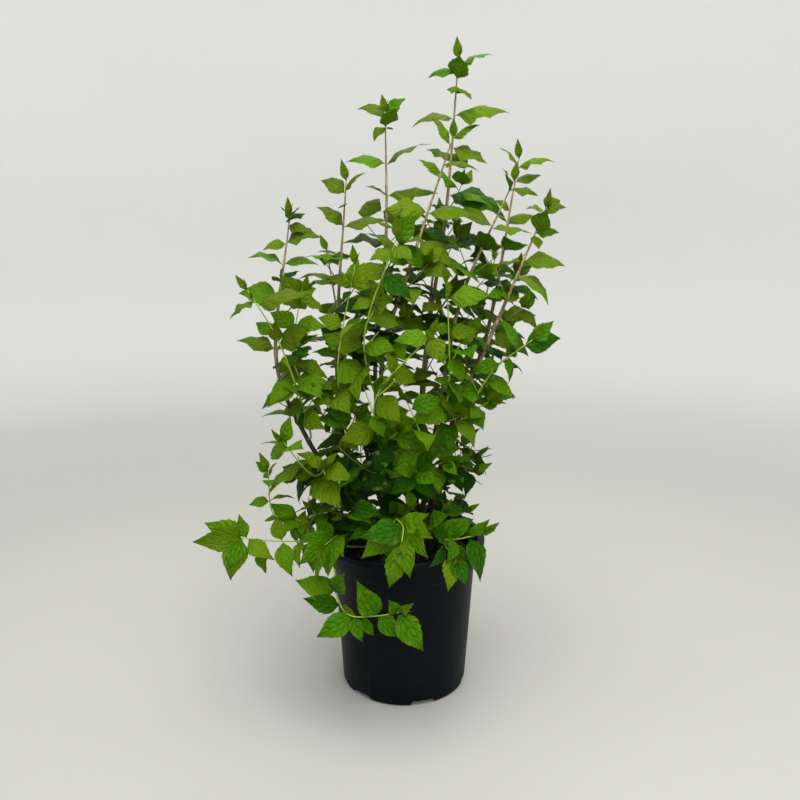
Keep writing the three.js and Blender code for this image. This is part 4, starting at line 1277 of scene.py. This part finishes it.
def leaf_shapes(leaves, draw):
    """Points (n, 74, 3) of leaves, and their places on the blade (74, 2).

    The midrib is an arc: its slope falls evenly from start to start - bend. Start is set so that
    the tip hangs a little under the line that the leaf points along; high up, where leaves stand
    out level, they arch more and roll less. With b the share of the blade beyond the stalk, the
    half width is w(u) = W b^0.75 (1 - b)^1.6. Across the blade, v from -1 to 1, the height is
    w (fold |v| - curl v^2), with a wave along the margin.
    """
    count = len(leaves)
    length = np.array([leaf["length"] for leaf in leaves])[:, None]
    last = np.array([leaf["last"] for leaf in leaves])[:, None]
    bud = np.array([leaf.get("bud", False) for leaf in leaves])[:, None]

    def vary(low, high):
        return draw.uniform(low, high, (count, 1))

    rise = rise_at(np.array([leaf["root"][2] for leaf in leaves])[:, None])
    broad = np.array([leaf.get("broad", False) for leaf in leaves])[:, None]
    listed = np.array([leaf.get("listed", False) for leaf in leaves])[:, None]
    wide = mix(vary(0.46, 0.60), vary(0.56, 0.68), rise) * np.where(bud, 0.6, 1)
    wide = np.where(broad, vary(0.6, 0.72), wide)
    bend = mix(vary(0.5, 1.2), vary(1.0, 1.7), rise) * np.where(last | broad, 0.6, 1)
    bend = np.where(bud, 0.35, bend)
    start = bend / 2 - np.where(bud | listed, 0, vary(0, 0.3))
    length = length * (bend / 2) / np.sin(bend / 2)
    fold = mix(vary(0.1, 0.55), vary(-0.2, 0.25), rise) + 0.15 * bud
    curl, twist, sway = vary(0.12, 0.34), vary(-0.4, 0.4), vary(-0.1, 0.1)
    roll = vary(-1, 1) * mix(0.6, 0.2, rise)
    wave, phase, teeth = vary(0.01, 0.07), vary(0, 2 * np.pi), vary(0.02, 0.07)

    u = np.concatenate([[0], ROWS, [1]])[None, :]
    angle = start - bend * u
    x = length * (np.sin(start) - np.sin(angle)) / bend
    z = length * (np.cos(angle) - np.cos(start)) / bend
    y = length * sway * u**2
    middle = np.stack([x, y, z], -1)

    blade = np.clip((u - STALK) / (1 - STALK), 0, 1)
    total = WIDENING + NARROWING
    crest = (WIDENING / total) ** WIDENING * (NARROWING / total) ** NARROWING
    half = wide / 2 * blade**WIDENING * (1 - blade) ** NARROWING / crest
    tooth = np.concatenate([[0], TOOTH, [0]])
    half = length * half * (1 + teeth * tooth) + STALK_HALF * (u < 0.999)
    turn = twist * u + roll
    across = np.stack([0 * turn, np.cos(turn), np.sin(turn)], -1)
    forward = np.stack([np.cos(angle), 0 * angle, np.sin(angle)], -1)
    level = np.cos(angle)
    normal = np.stack([-np.sin(angle), -np.sin(turn) * level, np.cos(turn) * level], -1)

    v = ACROSS
    lift = half[..., None] * (fold[..., None] * abs(v) - curl[..., None] * v**2)
    vein = np.sin(2 * np.pi * (u * VEIN_WAVES - 0.4))[..., None]
    vein = vein * np.where(abs(v) == 0.5, VEIN_HEIGHT, 0)
    lift = lift + length[..., None] * vein * np.clip(half / length * 6, 0, 1)[..., None]
    waves = half * wave * 3 * np.sin(2 * np.pi * MARGIN_WAVES * u + phase)
    lift = lift + waves[..., None] * v**2
    thick = np.where(u < STALK + 0.01, STALK_THICK, mix(ROOT_THICK, TIP_THICK, u))
    lift = lift - thick[..., None] * (np.arange(CORNERS) == CORNERS - 1)
    drawn = (length * TOOTH_REACH * (tooth > 0.5))[..., None] * abs(v)
    points = (middle[:, :, None] + (half[..., None] * v)[..., None] * across[:, :, None]
              + lift[..., None] * normal[:, :, None] + drawn[..., None] * forward[:, :, None])
    inner = points[:, 1:-1].reshape(count, -1, 3)
    shape = np.concatenate([inner, points[:, :1, 2], points[:, -1:, 2]], axis=1)
    places = np.stack(np.broadcast_arrays(ROWS[:, None], (v + 1) / 2), -1).reshape(-1, 2)
    places = np.concatenate([places, [[0, 0.5], [1, 0.5]]])
    return shape, places


# %% Faces and place of a leaf
def set_in_place(shape, leaves):
    """Leaf shapes moved to their roots: x runs ahead, z is the way the blade faces."""
    keys = ("root", "ahead", "face")
    root, ahead, face = (np.array([leaf[key] for leaf in leaves]) for key in keys)
    side = np.cross(face, ahead)
    x, y, z = shape[..., 0:1], shape[..., 1:2], shape[..., 2:3]
    return root[:, None] + x * ahead[:, None] + y * side[:, None] + z * face[:, None]


def leaf_faces():
    """Quads and triangles of one leaf: rings of six corners, closed by a fan at either end.
    Also which of them lie underneath. A leaf's corners run the other way round than a tube's."""
    quads, fans = ring_faces(len(ROWS), CORNERS)
    quads, fans = quads[:, [0, 3, 2, 1]], fans[:, [0, 2, 1]]
    under = np.arange(CORNERS) >= CORNERS - 2
    return quads, fans, np.tile(under, len(ROWS) - 1), np.tile(under, 2)


leaf_quads, leaf_fans, under_quads, under_fans = leaf_faces()
print("one leaf:", LEAF_POINTS, "points,", len(leaf_quads) + len(leaf_fans), "faces")

# %% [markdown]
# ## Leaf finishes
# Young leaves are a bright yellow green and older ones deeper, and every leaf is paler and duller
# underneath. Those tones are plain colours, dealt out leaf by leaf; the darkest, dealt mostly low
# down, also stand as painted shade for the shade inside the crown. The veins come from the blade's
# own map: a midrib, and side veins that leave it and arch towards the tip. They are pale on young
# leaves and sunk on full-grown ones, where their darker colour is painted shade in the sunk veins.
# Some light comes through a leaf, which makes it glow from behind, so a Translucent shader is
# mixed in.

# %% Tones of leaves
SIDE_VEINS, VEIN_SLANT, LONG_VEIN = 5.0, 1.5, 0.42
GLOW, GLOW_SHARE = tone(116, 180, 2), 0.32
TOP_ROUGHNESS, UNDER_ROUGHNESS = 0.5, 0.65
# the second tone of each is its veins': paler on young leaves, darker on full and deep ones as
# painted shade in the sunk veins
TOPS = {
    "leaf_young": (tone(102, 131, 6), tone(124, 154, 36)),
    "leaf_fresh": (tone(92, 135, 3), tone(116, 158, 26)),
    "leaf_full": (tone(76, 127, 2), tone(54, 102, 2)),
    "leaf_deep": (tone(48, 98, 2), tone(28, 70, 2)),
    # the darkest tone: older leaves, darkened further as painted shade for the inside of the crown
    "leaf_old_and_painted_shade": (tone(21, 56, 2), tone(40, 80, 10)),
    "leaf_olive": (tone(89, 111, 6), tone(118, 140, 34)),
}
UNDERS = {"under_pale": (tone(98, 128, 22), tone(120, 150, 42)),
          "under_dull": (tone(76, 106, 18), tone(98, 128, 34))}


def leaf_finish(name, tones, roughness):
    """A leaf's colour with its veins, and the light that comes through it."""
    plain, vein = tones
    leaf = Finish(name)
    blade = leaf.add("ShaderNodeUVMap", {"uv_map": "blade"})
    along, side = leaf.axis(blade, "X"), leaf.axis(blade, "Y")
    aside = leaf.maths("ABSOLUTE", side * 2.0 - 1.0)
    to_vein = leaf.maths("PINGPONG", along * SIDE_VEINS - aside**1.3 * VEIN_SLANT, 0.5)
    side_vein = (1 - leaf.between(to_vein, 0.02, 0.1)) * (1 - leaf.between(aside, 0.7, 1.0))
    midrib = 1 - leaf.between(aside, 0.02, 0.09)
    to_long = leaf.maths("ABSOLUTE", aside - LONG_VEIN)
    long_vein = (1 - leaf.between(to_long, 0.01, 0.06)) * (1 - leaf.between(along, 0.45, 0.85))
    veins = leaf.maths("MAXIMUM", midrib, leaf.maths("MAXIMUM", side_vein * 0.7, long_vein))
    mottle = leaf.noise(leaf.place(), 55.0, 3.0)
    # the vein tone blends in along the veins; where it is darker it paints shade into the sunk
    # veins
    colour = leaf.tint(veins * 0.55, leaf.tint(mottle, shaded(plain, 0.8), plain), vein)
    pillow = leaf.maths("MINIMUM", to_vein * 2.0, 0.6)
    normal = leaf.bump(pillow - midrib * 0.6 - long_vein * 0.6 + mottle * 0.3, 0.8, 0.0026)
    return leaf.surface(colour, roughness, normal, GLOW, GLOW_SHARE, Specular_IOR_Level=0.08)


top_finishes = [leaf_finish(name, tones, TOP_ROUGHNESS) for name, tones in TOPS.items()]
under_finishes = [leaf_finish(name, tones, UNDER_ROUGHNESS) for name, tones in UNDERS.items()]
print(len(TOPS), "tones above and", len(UNDERS), "below")

# %% [markdown]
# ## All the leaves
# Leaves are gathered stem by stem, those of the rule first and then the finer ones, and a small
# folded pair ends every stem and twig. A leaf that would pass through the pot, the soil or a leaf
# already there is left out, as it would have been pushed aside on the plant. A few points on each
# leaf stand for it in that test, which is much quicker than cutting every mesh with every other.

# %% Gather the leaves
BUD_SEED, TOP_SEED, SHAPE_SEED, TONE_SEED = 4000, 5000, 31, 78


def end_buds(line, seed):
    """The folded pair at a stem's end: two small leaves that point ahead and part a little."""
    draw = np.random.default_rng(BUD_SEED + seed)
    ahead, end = line.heading(1), line.point(1)
    buds = []
    for side, size in ((0, 1.0), (math.pi, 0.65)):
        direction = sideways(ahead, side + draw.uniform(-0.4, 0.4), 4.0, 0.4)
        face = FRONT if side == 0 else np.cross(direction, np.cross(ahead, direction)) + 1e-6
        buds.append({"root": end - ahead, "ahead": direction, "face": squared(face, direction),
                     "length": size * draw.uniform(20, 30), "last": True, "bud": True})
    return buds


def top_leaves(line, seed):
    """The two pairs at a head's end: one spreads to the sides, the broader one below it droops."""
    draw = np.random.default_rng(TOP_SEED + seed)
    leaves = []
    for below, turn, tilt, longest in ((12, 0, 0.25, 48), (4, math.pi / 2, -0.75, 42)):
        turn += draw.uniform(-0.35, 0.35)
        for side in (0, math.pi):
            away = [math.cos(turn + side), math.sin(turn + side), tilt + draw.uniform(-0.2, 0.2)]
            ahead, root = unit(np.array(away)), line.point(1 - below / line.length)
            leaves.append({"root": root, "ahead": ahead, "face": squared(UP, ahead),
                           "length": longest * draw.uniform(0.82, 1),
                           "last": tilt > 0, "broad": tilt < 0})
    return leaves


def gathered(stems):
    """Every leaf of some stems with the number of the stem and of the twig that carries it."""
    first, second = [], []
    for number, each in enumerate(stems):
        line, seed, own = each["line"], each["seed"], each["leaves"]
        if each["rule"] is HEAD and not each["upper"]:
            own = [*top_leaves(line, seed), *(leaf for leaf in own if not leaf["last"])]
        tag = {"stem": number, "mass": each, "fine": False, "spray": 0}
        first += [{**leaf, **tag} for leaf in (*own, *end_buds(line, seed))]
        for spray, twig in enumerate(each["twigs"], 1):
            own = [*twig["leaves"], *end_buds(twig["line"], seed + 50 * spray)]
            first += [{**leaf, **tag, "spray": spray} for leaf in own]
        for spray, twig in enumerate(each["twiglets"], 100):
            second += [{**leaf, **tag, "fine": True, "spray": spray} for leaf in twig["leaves"]]
    return first, second


kinds = {"heads": heads, "shoots": shoots, "sprays": sprays}
by_rule, finer = [], []
for kind, stems in kinds.items():
    first, second = gathered(stems)
    by_rule += [{**leaf, "kind": kind} for leaf in first]
    finer += [{**leaf, "kind": kind} for leaf in second]
candidates = by_rule + finer
print(len(candidates), "leaves gathered")

# %% Thin the leaves
# how far a listed leaf, one of the rule and a finer one stay clear of those already there
CLEAR_OF_LISTED, CLEAR_OF_RULE, CLEAR_OF_FINE = 0.9, 2.2, 6.0
CLEAR_OF_POT = 1.5
# tested on each leaf: its midrib and both sides of it at three rings, its tip and its margin there
MIDRIB = np.array([2, 5, 8]) * CORNERS + 2
LEAF_TIP, MARGIN_AT_TIP = LEAF_POINTS - 1, 10 * CORNERS + 4
TEST_POINTS = np.concatenate([MIDRIB, MIDRIB - 1, MIDRIB + 1, [LEAF_TIP, MARGIN_AT_TIP]])


def meets_pot(points):
    """Whether any of some points (n, k, 3) lies in the soil, or in the pot's wall or lip."""
    radius, height = np.hypot(points[..., 0], points[..., 1]), points[..., 2]
    wall = np.where(height > POT["shoulder_height"], POT["lip"], wall_radius(height))
    wall = wall + CLEAR_OF_POT
    below_top = height < POT["height"] + 1
    inside = (radius < POT["collar"] - POT["wall"] - 2) & (height > SOIL_LEVEL + CLEAR_OF_POT)
    return (below_top & (radius < wall) & ~inside).any(axis=1)


def thinned(leaves, points):
    """Numbers of the leaves that are kept, in turn, where they stay clear of those before."""
    tests = points[:, TEST_POINTS]
    allowed = ~meets_pot(tests)
    kept, there, filled = [], np.empty((len(leaves) * len(TEST_POINTS), 3)), 0
    for number, leaf in enumerate(leaves):
        if not allowed[number]:
            continue
        if leaf["fine"] and not in_space(points[number, LEAF_TIP], leaf["mass"]):
            continue
        clear = CLEAR_OF_FINE if leaf["fine"] else CLEAR_OF_RULE
        clear = CLEAR_OF_LISTED if leaf.get("listed") else clear
        if filled and not leaf.get("bud"):
            near = there[:filled]
            from_margin = np.abs(near - points[number, MARGIN_AT_TIP]).max(axis=1)
            near = near[from_margin < leaf["length"]]
            gaps = np.linalg.norm(near[:, None] - tests[number][None], axis=-1)
            if gaps.size and gaps.min() < clear:
                continue
        there[filled:filled + len(TEST_POINTS)] = tests[number]
        filled += len(TEST_POINTS)
        kept.append(number)
    return np.array(kept)


DRESSED_SCALE = 1.03
LEAF_SCALE = {  # of masses whose leaves are smaller or larger than that
    "head_left": 0.9, "head_left_mid": 0.95, "head_right_in": 0.85, "head_right_out": 0.82,
    "head_back": 0.82, "head_back_left": 0.82, "head_back_right": 0.87,
    "shoot_left_arc": 0.6, "shoot_left_inner": 1.1, "shoot_left_green": 0.95,
    "shoot_right_low": 0.85, "spray_left_middle": 1.1, "spray_left_low": 1.1,
    "spray_right_out_middle": 0.6, "spray_right_middle": 0.78, "spray_right_in_middle": 0.85,
    "spray_right_in_low": 0.7, "spray_back_right_low": 0.6, "spray_right_out_low": 0.75,
    "spray_back_low": 0.9,
}
for leaf in candidates:
    if not (leaf.get("listed") or leaf.get("bud")):
        leaf["length"] *= LEAF_SCALE.get(leaf["mass"]["mass"], DRESSED_SCALE)
shape, blade_places = leaf_shapes(candidates, np.random.default_rng(SHAPE_SEED))
placed = set_in_place(shape, candidates)
kept = thinned(candidates, placed)
print(len(kept), "leaves kept of", len(candidates))

# %% Deal out the tones and join the leaves
YOUNG, FULL, OLIVE = 0, 2, 5
SAME_AS_SPRAY = 0.55
# painted shade: the low shares hold more deep and dark tones, for older leaves and for the shade
# low in the crown
SHARES = {  # of each tone above: young, fresh, full, deep, dark, olive
    "low": {
        "heads": (0.0, 0.10, 0.30, 0.34, 0.26, 0.0),
        "shoots": (0.10, 0.40, 0.38, 0.12, 0.0, 0.0),
        "sprays": (0.0, 0.0, 0.04, 0.28, 0.66, 0.02),
    },
    "high": {
        "heads": (0.26, 0.10, 0.08, 0.06, 0.0, 0.50),
        "shoots": (0.50, 0.26, 0.06, 0.0, 0.0, 0.18),
        "sprays": (0.20, 0.30, 0.20, 0.10, 0.0, 0.20),
    },
}


def deal(kind, height):
    """One tone by chance: its odds shift from the low to the high shares as a leaf sits higher."""
    odds = mix(np.array(SHARES["low"][kind]), np.array(SHARES["high"][kind]), rise_at(height))
    return tone_draw.choice(len(TOPS), p=odds / odds.sum())


tone_draw = np.random.default_rng(TONE_SEED)
spray_tones = {}
for kind in kinds:
    chosen = [number for number in kept if candidates[number]["kind"] == kind]
    tops, unders = [], []
    for number in chosen:
        leaf = candidates[number]
        key = (kind, leaf["stem"], leaf["spray"])
        if key not in spray_tones:
            spray_tones[key] = deal(kind, leaf["root"][2])
        own = deal(kind, leaf["root"][2])
        dealt = spray_tones[key] if tone_draw.random() < SAME_AS_SPRAY else own
        dealt = max(YOUNG, dealt - 1) if leaf["last"] and dealt < OLIVE else dealt
        # buds are young leaves; broad head leaves also get the young, lightest tone as painted
        # light, since they hang in shade
        if leaf.get("bud") or leaf.get("broad") and kind == "heads":
            dealt = YOUNG
        tops.append(dealt)
        unders.append(len(TOPS) + (0 if dealt <= FULL else 1))
    tops, unders = np.array(tops)[:, None], np.array(unders)[:, None]
    looks = np.concatenate([np.where(under_quads, unders, tops).ravel(),
                            np.where(under_fans, unders, tops).ravel()])
    shift = LEAF_POINTS * np.arange(len(chosen))[:, None, None]
    leaves = new_piece(
        f"leaves_of_{kind}", placed[chosen].reshape(-1, 3), leaf_quads + shift, leaf_fans + shift,
        top_finishes + under_finishes, looks, blade=np.tile(blade_places, (len(chosen), 1)),
    )
    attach(leaves, "root")
    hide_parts(*(each["mass"] for each in kinds[kind]))
    "grown_foliage" if kind == "sprays" else "young_foliage"
